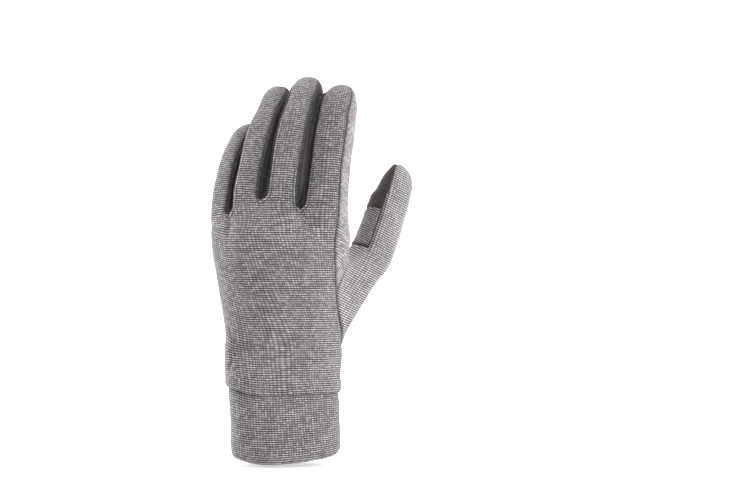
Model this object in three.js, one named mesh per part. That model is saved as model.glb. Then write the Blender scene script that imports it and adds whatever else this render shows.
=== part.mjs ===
// A knitted wool glove for the left hand, held in the shape that a hand gives it.
// Millimetres. Z runs from the mouth of the cuff to the fingertips, X to the thumb, Y to the palm.
// The whole outer face is one net of patches: back, palm and side strips of the hand and of each finger,
// and the tube of the thumb. Every sewn panel is a set of those patches with the wall's thickness.

import * as THREE from 'three';

// lengths along the hand
const cuffHeight = 46.1;
const palmLength = 126.5;
const littleLength = 72;
const ringLength = 94;
const middleLength = 98;
const indexLength = 92;
const thumbLength = 115.5;

// widths, from the side of the little finger to the side of the thumb, and depths, from back to palm
const littleWidth = 20;
const ringWidth = 20.5;
const middleWidth = 24.5;
const indexWidth = 28;
const thumbWidth = 27.5;
const littleDepth = 17.5;
const ringDepth = 20;
const middleDepth = 21;
const indexDepth = 21.5;
const thumbDepth = 25;
const wristLeft = 40.4;
const wristRight = 36;
const wristDepth = 42;
const palmDepth = 34;

// room between the roots of neighbouring fingers
const littleRingRoom = 0.4;
const ringMiddleRoom = 3.05;
const middleIndexRoom = 1.45;

// cloth
const wall = 2;
const cuffWall = 3.6;
const seamGap = 0.3;
const sharpestPoint = 0.05;
const slotRound = 5;
const slotDepthReach = 16;
const indexPatchLength = 24.6;
const thumbPatchLength = 39.5;

// grid counts of the net
const stripColumns = 5;
const sideColumns = 4;
const fingerRows = 9;
const endRows = 2;
const seamToFootRows = 4;
const footToPointRows = 3;
const pointToCrotchRows = 3;
const crotchToWebRows = 3;
const holeColumns = 7;
const flareRows = 5;
const thumbRows = 7;
const thumbEndRows = 3;
const stripColumnsOnBack = 5;
const stripColumnsOnPalm = 3;
const thumbStripStart = flareRows;
const cuffRows = 5;
const foldSteps = 4;

// roundness of the cross sections: 2 is an ellipse, more is squarer
const handSquare = 2.35;
const fingerSquare = 2.7;
const tipSquare = 2.1;
const thumbSquare = 2.3;

// side strips of a finger reach this many degrees either way from its side, less at the tip
const stripHalfAngle = 44;
const tipHalfAngle = 34;
const taperStart = 0.7;
const roundingStart = 0.5;
const roundingEnd = 0.8;
const halfTurn = 180;
const fullTurn = 360;

// the last part of a finger is a dome, this share of its width long, cut off at an angle by the end patch
const domeShare = 0.72;
const domeCut = 52;

// centre lines of the fingers: turn about Z, lean towards the thumb, and bend towards the palm
// from root to tip, in degrees; the root's height is a share of palmLength
const fingers = [
  { name: 'little', length: littleLength, width: littleWidth, depth: littleDepth,
    root: 0.921, turn: -42, lean: -4.5, bendRoot: 6, bendTip: 48 },
  { name: 'ring', length: ringLength, width: ringWidth, depth: ringDepth,
    root: 0.960, turn: -27, lean: 3.8, bendRoot: 6, bendTip: 46 },
  { name: 'middle', length: middleLength, width: middleWidth, depth: middleDepth,
    root: 0.976, turn: -21, lean: 3.2, bendRoot: 6, bendTip: 42 },
  { name: 'index', length: indexLength, width: indexWidth, depth: indexDepth,
    root: 0.945, turn: -19, lean: 1.6, bendRoot: 4, bendTip: 34 },
];

// the row of knuckles: room beside each pair of fingers and the direction of the step, in degrees from X
const knuckleSteps = [
  { room: littleRingRoom, direction: -43 },
  { room: ringMiddleRoom, direction: -17.5 },
  { room: middleIndexRoom, direction: -4.9 },
];
const middleRootAcross = -0.6;
const middleRootForward = -3;

// where the slots between the fingers end, as shares of palmLength
const slots = [
  { name: 'little_ring', back: 0.921, palm: 0.960 },
  { name: 'ring_middle', back: 1.000, palm: 1.047 },
  { name: 'middle_index', back: 0.953, palm: 1.000 },
];
const littleWeb = 0.905;
const indexWeb = 0.937;

// width and depth of a finger along its length, as shares
const fingerProfile = [
  { at: 0.0, width: 1.00, depth: 1.00 },
  { at: 0.3, width: 0.96, depth: 0.97 },
  { at: 0.55, width: 0.97, depth: 0.98 },
  { at: 0.8, width: 0.95, depth: 0.93 },
  { at: 1.0, width: 0.95, depth: 0.90 },
];
// inner is the side to the index finger, which is pressed flat under the pad
const thumbProfile = [
  { at: 0.0, width: 1.10, depth: 1.10, inner: 1.00 },
  { at: 0.4, width: 1.08, depth: 1.04, inner: 1.00 },
  { at: 0.7, width: 1.00, depth: 1.00, inner: 1.00 },
  { at: 0.76, width: 0.99, depth: 0.98, inner: 0.98 },
  { at: 0.81, width: 0.98, depth: 0.96, inner: 0.80 },
  { at: 0.88, width: 0.97, depth: 0.93, inner: 0.66 },
  { at: 1.0, width: 0.95, depth: 0.90, inner: 0.50 },
];

// sections of the hand from the cuff's seam to the knuckles: height as a share of palmLength,
// spread from the wrist's half width (0) to the knuckles' (1) on each side, depth from the wrist's (0)
// to the palm's (1), turn about Z in degrees, and the hollow of the palm as a share of palmDepth
const handSections = [
  { at: 0.000, left: -0.20, right: 0.00, depth: -0.10, turn: 5, arch: 0.00 },
  { at: 0.107, left: -0.08, right: 0.00, depth: 0.10, turn: 3, arch: 0.00 },
  { at: 0.265, left: 0.00, right: 0.42, depth: 0.38, turn: -2, arch: 0.03 },
  { at: 0.407, left: 0.09, right: 0.22, depth: 0.50, turn: -6, arch: 0.06 },
  { at: 0.565, left: 0.43, right: 0.35, depth: 0.62, turn: -10, arch: 0.12 },
  { at: 0.739, left: 0.86, right: 0.79, depth: 0.75, turn: -14, arch: 0.21 },
  { at: 0.866, left: 1.02, right: 1.00, depth: 1.00, turn: -17, arch: 0.27 },
  { at: 1.000, left: 1.00, right: 1.00, depth: 1.25, turn: -18, arch: 0.29 },
];
const knuckleLeftShare = 0.57;
const knuckleRightShare = 0.55;

// cuff from its mouth to its seam: half widths as shares of the wrist's, depth as a share of wristDepth
const cuffSections = [
  { at: 0.00, left: 0.84, right: 0.93, depth: 0.92 },
  { at: 0.06, left: 0.87, right: 0.985, depth: 0.96 },
  { at: 0.14, left: 0.88, right: 1.01, depth: 0.98 },
  { at: 0.50, left: 0.885, right: 0.985, depth: 0.97 },
  { at: 1.00, left: 0.925, right: 0.955, depth: 0.97 },
];

// the cuff's edge at the mouth: place across from the little side (-1) to the thumb side (1), and how
// far the edge rises there as a share of cuffHeight
const mouthEdge = [
  { at: -1.0, rise: 0.065 },
  { at: -0.7, rise: 0.013 },
  { at: -0.3, rise: 0.000 },
  { at: 0.2, rise: 0.024 },
  { at: 0.6, rise: 0.052 },
  { at: 1.0, rise: 0.095 },
];

// edges of the back panel, in degrees round the section of the hand
const panelEdges = [
  { at: 0.000, thumbSide: 6, littleSide: 172 },
  { at: 0.240, thumbSide: 10, littleSide: 170 },
  { at: 0.502, thumbSide: 24, littleSide: 172 },
  { at: 0.763, thumbSide: 34, littleSide: 176 },
  { at: 1.000, thumbSide: 40, littleSide: 178 },
];
const lowestLittleColumn = 174;

// levels along the hand's sides, as shares of palmLength
const gussetFoot = 0.24;
const stripPoint = 0.502;
const thumbCrotch = 0.755;
const littlePoint = 0.802;
const stripOpening = 1.5;

// the fingers' roots blend into the hand over these shares of palmLength
const backBlend = 0.206;
const palmBlend = 0.158;

// hole of the thumb in the palm, and the corners of the palm's grid on its edge
const holeReach = 86;
const holeFullness = 0.8;
const holeLowCorner = 0.74;
const holeHighCorner = 0.30;

// the thumb's centre line
const thumbRoot = { acrossHand: 0.55, acrossThumb: 0.5, forward: 0.41, height: 0.375 };
const thumbLean = 20.4;
const thumbForward = 11;
const thumbBow = 0.042;
const thumbDomeShare = 1.25;
const tubeStart = 0.42;
const flareFrom = 0.6;
const footRise = 0.4;
const evenColumns = 0.7;

// creases and hollows pressed into the hand: place round the section in degrees, height as a share
// of palmLength, half extents in the same terms, and depth as a share of the wall
const dents = [
  { name: 'crease under the thumb', angle: -35, at: 0.255, wide: 60, high: 0.035, deep: 1.0 },
  { name: 'hollow of the palm', angle: -110, at: 0.62, wide: 34, high: 0.20, deep: 1.6 },
  { name: 'pucker at the little side', angle: 160, at: 0.30, wide: 16, high: 0.05, deep: 0.9 },
  { name: 'dip between the knuckles', angle: 88, at: 0.86, wide: 12, high: 0.08, deep: 0.5 },
  { name: 'wrist on the back', angle: 95, at: 0.07, wide: 60, high: 0.05, deep: 0.7 },
];

const heather = new THREE.MeshStandardMaterial({ color: 0xa19c9a, roughness: 0.95, metalness: 0 });
const shadedHeather = new THREE.MeshStandardMaterial({ color: 0x8e8986, roughness: 0.95, metalness: 0 });
const suede = new THREE.MeshStandardMaterial({ color: 0x3b3632, roughness: 0.7, metalness: 0 });

const radians = THREE.MathUtils.degToRad;
const degrees = THREE.MathUtils.radToDeg;
const clamp = THREE.MathUtils.clamp;
const mix = THREE.MathUtils.lerp;

// a smooth curve through one column of a table
function column(rows, key, at) {
  const last = rows.length - 1;
  const slope = (i) => {
    const before = rows[Math.max(i - 1, 0)];
    const after = rows[Math.min(i + 1, last)];
    return (after[key] - before[key]) / (after.at - before.at);
  };
  const place = clamp(at, rows[0].at, rows[last].at);
  let i = 0;
  while (i < last - 1 && rows[i + 1].at <= place) i += 1;
  const step = rows[i + 1].at - rows[i].at;
  const t = (place - rows[i].at) / step;
  return (2 * t ** 3 - 3 * t ** 2 + 1) * rows[i][key] + (t ** 3 - 2 * t ** 2 + t) * step * slope(i)
    + (3 * t ** 2 - 2 * t ** 3) * rows[i + 1][key] + (t ** 3 - t ** 2) * step * slope(i + 1);
}

function ease(t) {
  const c = clamp(t, 0, 1);
  return c * c * (3 - 2 * c);
}

function signedPower(value, power) {
  return Math.sign(value) * Math.abs(value) ** power;
}

// shares 0 to 1 that lie closer together at both ends
function shares(count) {
  return Array.from({ length: count + 1 }, (_, i) => {
    const t = i / count;
    return t / 2 + (1 - Math.cos(Math.PI * t)) / 4;
  });
}

function steps(from, to, count) {
  return Array.from({ length: count + 1 }, (_, i) => mix(from, to, i / count));
}

function blend(a, b, t) {
  return a.clone().lerp(b, t);
}

// the angle within half a turn either way
function wrap(angle) {
  if (angle > halfTurn) return angle - fullTurn;
  if (angle < -halfTurn) return angle + fullTurn;
  return angle;
}

const heightAt = (share) => cuffHeight + palmLength * share;
const shareAt = (height) => (height - cuffHeight) / palmLength;

// roots of the fingers, stepped out from the middle finger along the knuckles
function placeRoots() {
  const stepTo = (from, to, sign) => {
    const { room, direction } = knuckleSteps[Math.min(from, to)];
    const distance = sign * ((fingers[from].width + fingers[to].width) / 2 + room);
    const turn = radians(direction);
    fingers[to].x = fingers[from].x + distance * Math.cos(turn);
    fingers[to].y = fingers[from].y + distance * Math.sin(turn);
  };
  const middle = fingers.findIndex((finger) => finger.name === 'middle');
  fingers[middle].x = middleRootAcross;
  fingers[middle].y = middleRootForward;
  stepTo(middle, middle - 1, -1);
  stepTo(middle - 1, middle - 2, -1);
  stepTo(middle, middle + 1, 1);
}
placeRoots();
const [littleFinger, , , indexFinger] = fingers;
const knuckleLeft = knuckleLeftShare * littleWidth - littleFinger.x;
const knuckleRight = indexFinger.x + knuckleRightShare * indexWidth;

// the superellipse of a section: half width, half depth, squareness and angle
function oval(halfWidth, halfDepth, square, angle) {
  const t = radians(angle);
  return [
    halfWidth * signedPower(Math.cos(t), 2 / square),
    halfDepth * signedPower(Math.sin(t), 2 / square),
  ];
}

// a finger's section is squarer at the root than at the tip
function squareAt(share) {
  const rounding = ease((share - roundingStart) / (roundingEnd - roundingStart));
  return mix(fingerSquare, tipSquare, rounding);
}

// size and pose of the hand's section at a height
function handSection(height) {
  const at = shareAt(height);
  const left = -mix(wristLeft, knuckleLeft, column(handSections, 'left', at));
  const right = mix(wristRight, knuckleRight, column(handSections, 'right', at));
  const halfDepth = mix(wristDepth, palmDepth, column(handSections, 'depth', at)) / 2;
  const turn = radians(column(handSections, 'turn', at));
  const reach = (right - left) / 2;
  const halfWidth = Math.sqrt(reach ** 2 - (halfDepth * Math.sin(turn)) ** 2) / Math.cos(turn);
  return { at, middle: (left + right) / 2, halfWidth, halfDepth, turn,
    arch: palmDepth * column(handSections, 'arch', at) };
}

function dentDepth(angle, at) {
  let depth = 0;
  for (const dent of dents) {
    const round = wrap(angle - dent.angle) / dent.wide;
    const along = (at - dent.at) / dent.high;
    depth += wall * dent.deep * Math.exp(-round * round - along * along);
  }
  return depth;
}

function handPoint(angle, height) {
  const s = handSection(height);
  let [x, y] = oval(s.halfWidth, s.halfDepth, handSquare, angle);
  y -= s.arch * ((x / s.halfWidth) ** 2 - 0.5);
  const inward = dentDepth(angle, s.at) / Math.hypot(x, y);
  x -= x * inward;
  y -= y * inward;
  return new THREE.Vector3(
    s.middle + x * Math.cos(s.turn) + y * Math.sin(s.turn),
    x * Math.sin(s.turn) - y * Math.cos(s.turn),
    height,
  );
}

// the angle on the hand's section below or above which a point lies; side is 1 on the back, -1 on the palm
function handAngle(point, side) {
  const s = handSection(point.z);
  const x = (point.x - s.middle) * Math.cos(s.turn) + point.y * Math.sin(s.turn);
  const cosine = clamp(signedPower(x / s.halfWidth, handSquare / 2), -1, 1);
  return side * degrees(Math.acos(cosine));
}

// a point on a finger: angle round it, distance along its centre line, and how far out from that line;
// the centre line is an arc that bends towards the palm
function fingerPoint(index, angle, along, out = 1) {
  const f = fingers[index];
  const turn = radians(f.turn);
  const lean = radians(f.lean);
  const root = radians(f.bendRoot);
  const bendRate = (radians(f.bendTip) - root) / f.length;
  const across = new THREE.Vector3(
    Math.cos(turn) * Math.cos(lean), Math.sin(turn) * Math.cos(lean), -Math.sin(lean));
  const up = new THREE.Vector3(
    Math.cos(turn) * Math.sin(lean), Math.sin(turn) * Math.sin(lean), Math.cos(lean));
  const palmward = new THREE.Vector3(-Math.sin(turn), Math.cos(turn), 0);
  const bend = root + bendRate * Math.max(along, 0);
  const before = Math.min(along, 0);
  const rise = (Math.sin(bend) - Math.sin(root)) / bendRate + before * Math.cos(root);
  const drop = (Math.cos(root) - Math.cos(bend)) / bendRate + before * Math.sin(root);
  const share = along / f.length;
  const [x, y] = oval(
    f.width / 2 * column(fingerProfile, 'width', share) * out,
    f.depth / 2 * column(fingerProfile, 'depth', share) * out,
    squareAt(share), angle);
  return new THREE.Vector3(f.x, f.y, heightAt(f.root))
    .addScaledVector(up, rise + y * Math.sin(bend))
    .addScaledVector(palmward, drop - y * Math.cos(bend))
    .addScaledVector(across, x);
}

// distance along a finger at which its centre line reaches a height near the root
function alongAt(index, height) {
  const f = fingers[index];
  return (height - heightAt(f.root)) / Math.cos(radians(f.bendRoot)) / Math.cos(radians(f.lean));
}

function heightAlong(index, along) {
  const f = fingers[index];
  return heightAt(f.root) + along * Math.cos(radians(f.bendRoot)) * Math.cos(radians(f.lean));
}

// middle of the slot between a finger and the next one to the thumb side, at an angle on the first
function slotMiddle(slot, angle, height) {
  const onNext = angle >= 0 ? halfTurn - angle : -halfTurn - angle;
  return blend(fingerPoint(slot, angle, alongAt(slot, height)),
    fingerPoint(slot + 1, onNext, alongAt(slot + 1, height)), 0.5);
}

// 1 at and below the end of a slot, falling to 0 along a quarter circle
function slotClosing(rise) {
  const t = clamp(rise / slotRound, 0, 1);
  return 1 - Math.sqrt(Math.max(1 - (1 - t) ** 2, 0));
}

// first and last angle of a strip of a finger
function stripSpan(face, half) {
  const spans = {
    back: [halfTurn - half, half],
    index: [half, -half],
    palm: [-half, half - halfTurn],
    little: [half - halfTurn, -half - halfTurn],
  };
  return spans[face];
}

// a strip is narrower near the tip
function halfAngleAt(index, along) {
  const share = along / fingers[index].length;
  return mix(stripHalfAngle, tipHalfAngle, ease((share - taperStart) / (1 - taperStart)));
}

// height of the finger's root line at its little side (0) or thumb side (1), on the back or the palm
function webHeight(index, side, face) {
  const slot = index - 1 + side;
  if (slot < 0) return heightAt(littleWeb);
  if (slot >= slots.length) return heightAt(indexWeb);
  return heightAt(slots[slot][face]);
}

const faces = {
  back: { columns: stripColumns, from: [0, 'back'], to: [1, 'back'] },
  index: { columns: sideColumns, from: [1, 'back'], to: [1, 'palm'] },
  palm: { columns: stripColumns, from: [1, 'palm'], to: [0, 'palm'] },
  little: { columns: sideColumns, from: [0, 'palm'], to: [0, 'back'] },
};

// how far a point beside a slot moves so that the slot closes at its end; the part of the move towards
// the palm fades out over a longer way
function closeSlot(index, side, angle, along, start) {
  const slot = index - 1 + side;
  if (slot < 0 || slot >= slots.length) return new THREE.Vector3();
  const onFirst = side === 1 ? angle : wrap(angle >= 0 ? halfTurn - angle : -halfTurn - angle);
  const move = slotMiddle(slot, onFirst, heightAlong(index, along)).sub(fingerPoint(index, angle, along));
  const turn = radians(fingers[index].turn);
  const palmward = new THREE.Vector3(-Math.sin(turn), Math.cos(turn), 0);
  const depth = palmward.multiplyScalar(move.dot(palmward));
  const sinking = 1 - ease((along - start) / slotDepthReach);
  return move.sub(depth).multiplyScalar(slotClosing(along - start)).addScaledVector(depth, sinking);
}

// one face of a finger as a grid of rows from root to tip
function fingerStrip(index, face) {
  const { columns, from, to } = faces[face];
  const across = shares(columns);
  const f = fingers[index];
  const dome = f.width * domeShare;
  const domeStart = f.length - dome;
  const starts = across.map((q) => alongAt(index,
    mix(webHeight(index, ...from), webHeight(index, ...to), q)));
  const rows = [];
  for (let row = 0; row <= fingerRows; row += 1) {
    rows.push(across.map((q, i) => {
      const along = mix(starts[i], domeStart, row / fingerRows);
      const [first, last] = stripSpan(face, halfAngleAt(index, along));
      const angle = wrap(mix(first, last, q));
      const point = fingerPoint(index, angle, along);
      if (face === 'index' || face === 'little') {
        return point.add(closeSlot(index, from[0], angle, along, starts[i]));
      }
      for (const [side, weight, edge, start] of [
        [from[0], 1 - q, first, starts[0]],
        [to[0], q, last, starts[columns]],
      ]) {
        const edgeAlong = mix(start, domeStart, row / fingerRows);
        point.addScaledVector(closeSlot(index, side, wrap(edge), edgeAlong, start), weight);
      }
      return point;
    }));
  }
  for (let row = 1; row <= endRows; row += 1) {
    const dip = radians(domeCut) * row / endRows;
    const along = domeStart + dome * Math.sin(dip);
    const [first, last] = stripSpan(face, halfAngleAt(index, along));
    rows.push(across.map((q) => fingerPoint(index, mix(first, last, q), along, Math.cos(dip))));
  }
  return rows;
}

// the patch that closes a finger: its border is the last row of the four faces, rows run back to palm
function fingerEnd(index) {
  const f = fingers[index];
  const dome = f.width * domeShare;
  const domeStart = f.length - dome;
  const dip = radians(domeCut);
  const half = halfAngleAt(index, domeStart + dome * Math.sin(dip));
  const edge = (face, count) => {
    const [first, last] = stripSpan(face, half);
    return shares(count).map((q) => new THREE.Vector2(
      ...oval(Math.cos(dip), Math.cos(dip), tipSquare, mix(first, last, q))));
  };
  const back = edge('back', stripColumns);
  const palm = edge('palm', stripColumns).reverse();
  const little = edge('little', sideColumns).reverse();
  const thumbSide = edge('index', sideColumns);
  const last = stripColumns;
  const across = shares(stripColumns);
  return shares(sideColumns).map((v, row) => across.map((u, i) => {
    const flat = new THREE.Vector2()
      .addScaledVector(back[i], 1 - v).addScaledVector(palm[i], v)
      .addScaledVector(little[row], 1 - u).addScaledVector(thumbSide[row], u)
      .addScaledVector(back[0], -(1 - u) * (1 - v)).addScaledVector(back[last], -u * (1 - v))
      .addScaledVector(palm[0], -(1 - u) * v).addScaledVector(palm[last], -u * v);
    const out = Math.min(
      (Math.abs(flat.x) ** tipSquare + Math.abs(flat.y) ** tipSquare) ** (1 / tipSquare), 1);
    const angle = degrees(Math.atan2(
      signedPower(flat.y / out, tipSquare / 2), signedPower(flat.x / out, tipSquare / 2)));
    return fingerPoint(index, angle, domeStart + dome * Math.sqrt(1 - out * out), out);
  }));
}

// heights of the grid's rows at the thumb side and at the little side
function rowHeights() {
  const between = (from, to, count) => steps(heightAt(from), heightAt(to), count).slice(1);
  const below = seamToFootRows + footToPointRows + pointToCrotchRows;
  return {
    thumbSide: [
      heightAt(0),
      ...between(0, gussetFoot, seamToFootRows),
      ...between(gussetFoot, stripPoint, footToPointRows),
      ...between(stripPoint, thumbCrotch, pointToCrotchRows),
      ...between(thumbCrotch, indexWeb, crotchToWebRows),
    ],
    littleSide: [
      heightAt(0),
      ...between(0, littlePoint, below),
      ...between(littlePoint, littleWeb, crotchToWebRows),
    ],
  };
}

const rowCount = seamToFootRows + footToPointRows + pointToCrotchRows + crotchToWebRows;
const footRow = seamToFootRows;
const pointRow = footRow + footToPointRows;
const crotchRow = pointRow + pointToCrotchRows;
const handColumns = fingers.length * stripColumns;
const order = { back: [0, 1, 2, 3], palm: [3, 2, 1, 0] };

// one value for each column of the hand's face, worked out from the values at the fingers' edges
function alongFace(edges) {
  const across = shares(stripColumns);
  return edges.slice(1).flatMap((to, i) => across.slice(i ? 1 : 0).map((q) => mix(edges[i], to, q)));
}

function webHeights(face) {
  const between = slots.map((slot) => heightAt(slot[face]));
  const edges = [heightAt(littleWeb), ...between, heightAt(indexWeb)];
  return alongFace(face === 'back' ? edges : edges.reverse());
}

// angles on the hand's section where the columns meet the fingers' roots
function webAngles(face) {
  const side = face === 'back' ? 1 : -1;
  const marks = slots.map((slot, i) => {
    const point = slotMiddle(i, side * stripHalfAngle, heightAt(slot[face]));
    return handAngle(point, side);
  });
  if (face === 'back') return alongFace([lowestLittleColumn, ...marks, stripHalfAngle]);
  return alongFace([-stripHalfAngle, ...marks.reverse(), -halfTurn]);
}

const edgeAngle = (which, height) => column(panelEdges, which, shareAt(height));

// the strip under the little finger opens at its point: angles of its edges on the back and on the palm
function littleEdges(height) {
  const open = ease((shareAt(height) - littlePoint) / (littleWeb - littlePoint));
  const edge = edgeAngle('littleSide', height);
  return {
    back: mix(edge, halfTurn - stripHalfAngle, open),
    palm: mix(edge, halfTurn + stripHalfAngle, open) - fullTurn,
  };
}

// share of the finger's form in the hand's face at a height; the zone below the web is shorter at the
// little side, where the two faces meet until the little finger's strip opens
function rootShare(height, webAt, face, fromLittleSide) {
  const full = face === 'back' ? backBlend : palmBlend;
  const zone = palmLength * mix(littleWeb - littlePoint, full, clamp(fromLittleSide, 0, 1));
  return ease((height - webAt + zone) / zone);
}

// one row of a face of the hand: the hand's section blended into the fingers' forms, which are carried
// down with the slots closed; an empty place stays empty
function handRow(face, places, webs) {
  const across = shares(stripColumns);
  const [first, last] = stripSpan(face, stripHalfAngle);
  return places.map((place, i) => {
    if (!place) return null;
    const strip = Math.min(Math.floor(i / stripColumns), fingers.length - 1);
    const index = order[face][strip];
    const q = across[i - strip * stripColumns];
    const root = fingerPoint(index, wrap(mix(first, last, q)), alongAt(index, place.height));
    for (const [side, weight, edge, edgeColumn] of [
      [faces[face].from[0], 1 - q, first, strip * stripColumns],
      [faces[face].to[0], q, last, (strip + 1) * stripColumns],
    ]) {
      const along = alongAt(index, (places[edgeColumn] ?? place).height);
      root.addScaledVector(closeSlot(index, side, wrap(edge), along, along), weight);
    }
    const fromLittleSide = (face === 'back' ? i : handColumns - i) / stripColumns;
    const share = rootShare(place.height, webs[i], face, fromLittleSide);
    return blend(handPoint(place.angle, place.height), root, share);
  });
}

function handBack(heights) {
  const webs = webHeights('back');
  const angles = webAngles('back');
  const first = angles[0];
  const last = angles[handColumns];
  return heights.thumbSide.map((thumbHeight, row) => {
    const littleHeight = heights.littleSide[row];
    const start = littleEdges(littleHeight).back;
    const end = edgeAngle('thumbSide', thumbHeight);
    const lift = (row / rowCount) ** 2;
    const places = webs.map((webAt, i) => {
      const level = mix(heightAt(littleWeb), heightAt(indexWeb), i / handColumns);
      return {
        angle: mix(start, end, (angles[i] - first) / (last - first)),
        height: mix(littleHeight, thumbHeight, i / handColumns) + (webAt - level) * lift,
      };
    });
    return handRow('back', places, webs);
  });
}

// the edge of the thumb's hole: 0 at the crotch, 1 at the foot of the gusset
function holeEdge(share) {
  const crotch = heightAt(thumbCrotch);
  const foot = heightAt(gussetFoot);
  const angle = mix(-stripHalfAngle, edgeAngle('thumbSide', foot), share)
    - holeReach * Math.abs(Math.sin(Math.PI * share)) ** holeFullness;
  return { angle, height: mix(foot, crotch, (1 + Math.cos(Math.PI * share)) / 2) };
}

// the palm's grid; its first columns stop at the thumb's hole and are left empty beside it
function handPalm(heights) {
  const webs = webHeights('palm');
  const angles = webAngles('palm');
  const spread = angles.map((angle) => (angle - angles[0]) / (angles[handColumns] - angles[0]));
  const beyond = spread.map((share) => (share - spread[holeColumns]) / (1 - spread[holeColumns]));
  const littleEnd = (row) => ({
    angle: littleEdges(heights.littleSide[row]).palm,
    height: heights.littleSide[row],
  });
  const toward = (a, b, t) => ({ angle: mix(a.angle, b.angle, t), height: mix(a.height, b.height, t) });
  const rowFromHole = (row, corner, tip) => spread.map((_, i) => {
    if (i <= holeColumns) return holeEdge(mix(tip, corner, i / holeColumns));
    return toward(holeEdge(corner), littleEnd(row), beyond[i]);
  });
  const seamAngle = edgeAngle('thumbSide', heightAt(0));
  const bottom = spread.map((share) => (
    toward({ angle: seamAngle, height: heightAt(0) }, littleEnd(0), share)));
  const foot = rowFromHole(footRow, holeLowCorner, 1);
  const crotch = rowFromHole(crotchRow, holeHighCorner, 0);
  const web = spread.map((_, i) => ({ angle: angles[i], height: webs[i] }));
  const placeOf = (row, i) => {
    if (i === handColumns) return littleEnd(row);
    if (row <= footRow) {
      if (i === 0) {
        const height = heights.thumbSide[row];
        return { angle: edgeAngle('thumbSide', height), height };
      }
      return toward(bottom[i], foot[i], row / footRow);
    }
    if (row >= crotchRow) {
      const up = (row - crotchRow) / crotchToWebRows;
      const place = toward(crotch[i], web[i], up);
      const last = toward(crotch[handColumns], web[handColumns], up);
      const end = littleEnd(row);
      const share = Math.max(0, 1 - (handColumns - i) / stripColumns);
      return {
        angle: place.angle + share * (end.angle - last.angle),
        height: place.height + share * (end.height - last.height),
      };
    }
    if (i < holeColumns) return null;
    const beside = holeEdge(mix(holeLowCorner, holeHighCorner, (row - footRow) / (crotchRow - footRow)));
    return toward(beside, littleEnd(row), beyond[i]);
  };
  return heights.thumbSide.map((_, row) => (
    handRow('palm', spread.map((__, i) => placeOf(row, i)), webs)));
}

// a strip at the side of the hand, between an edge of the back and an edge of the palm
function handSide(index, firstRow, heightsAtSide, span, leftEdge, rightEdge) {
  const across = shares(sideColumns);
  const face = index === 0 ? 'little' : 'index';
  const webAt = heightsAtSide[rowCount];
  const [first, last] = stripSpan(face, stripHalfAngle);
  return heightsAtSide.slice(firstRow).map((height, k) => {
    const row = firstRow + k;
    const [from, to] = span(height);
    const points = across.map((q) => {
      const onBack = index === 0 ? q : 1 - q;
      const fromLittleSide = index === 0 ? 0 : 1;
      const share = mix(rootShare(height, webAt, 'palm', fromLittleSide),
        rootShare(height, webAt, 'back', fromLittleSide), onBack);
      return blend(handPoint(wrap(mix(from, to, q)), height),
        fingerPoint(index, wrap(mix(first, last, q)), alongAt(index, height)), share);
    });
    const leftGap = leftEdge(row, points).clone().sub(points[0]);
    points.forEach((point, i) => point.addScaledVector(leftGap, 1 - across[i]));
    const rightGap = rightEdge(row, points).clone().sub(points[sideColumns]);
    points.forEach((point, i) => point.addScaledVector(rightGap, across[i]));
    return points;
  });
}

// the thumb's centre line, a shallow bow from root to tip, with its direction
function thumbAxis(share) {
  const root = new THREE.Vector3(
    knuckleRight * thumbRoot.acrossHand + thumbWidth * thumbRoot.acrossThumb,
    palmDepth * thumbRoot.forward,
    heightAt(thumbRoot.height));
  const lean = radians(thumbLean);
  const forward = radians(thumbForward);
  const tip = new THREE.Vector3(
    Math.sin(lean) * Math.cos(forward), Math.sin(forward), Math.cos(lean) * Math.cos(forward))
    .multiplyScalar(thumbLength).add(root);
  const bow = blend(root, tip, 0.5);
  bow.x += 2 * thumbBow * thumbLength;
  const line = new THREE.QuadraticBezierCurve3(root, bow, tip);
  return { centre: line.getPoint(share), along: line.getTangent(share) };
}

// a point on the thumb; half a turn is the side to the index finger, a quarter the side of the back
function thumbPoint(angle, share, out = 1) {
  const { centre, along } = thumbAxis(share);
  const side = new THREE.Vector3(1, 0, 0).addScaledVector(along, -along.x).normalize();
  const front = new THREE.Vector3().crossVectors(side, along);
  const [x, y] = oval(
    thumbWidth / 2 * column(thumbProfile, 'width', share) * out,
    thumbDepth / 2 * column(thumbProfile, 'depth', share) * out,
    thumbSquare, angle);
  const across = x < 0 ? x * column(thumbProfile, 'inner', share) : x;
  return centre.addScaledVector(side, across).addScaledVector(front, y);
}

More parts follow.
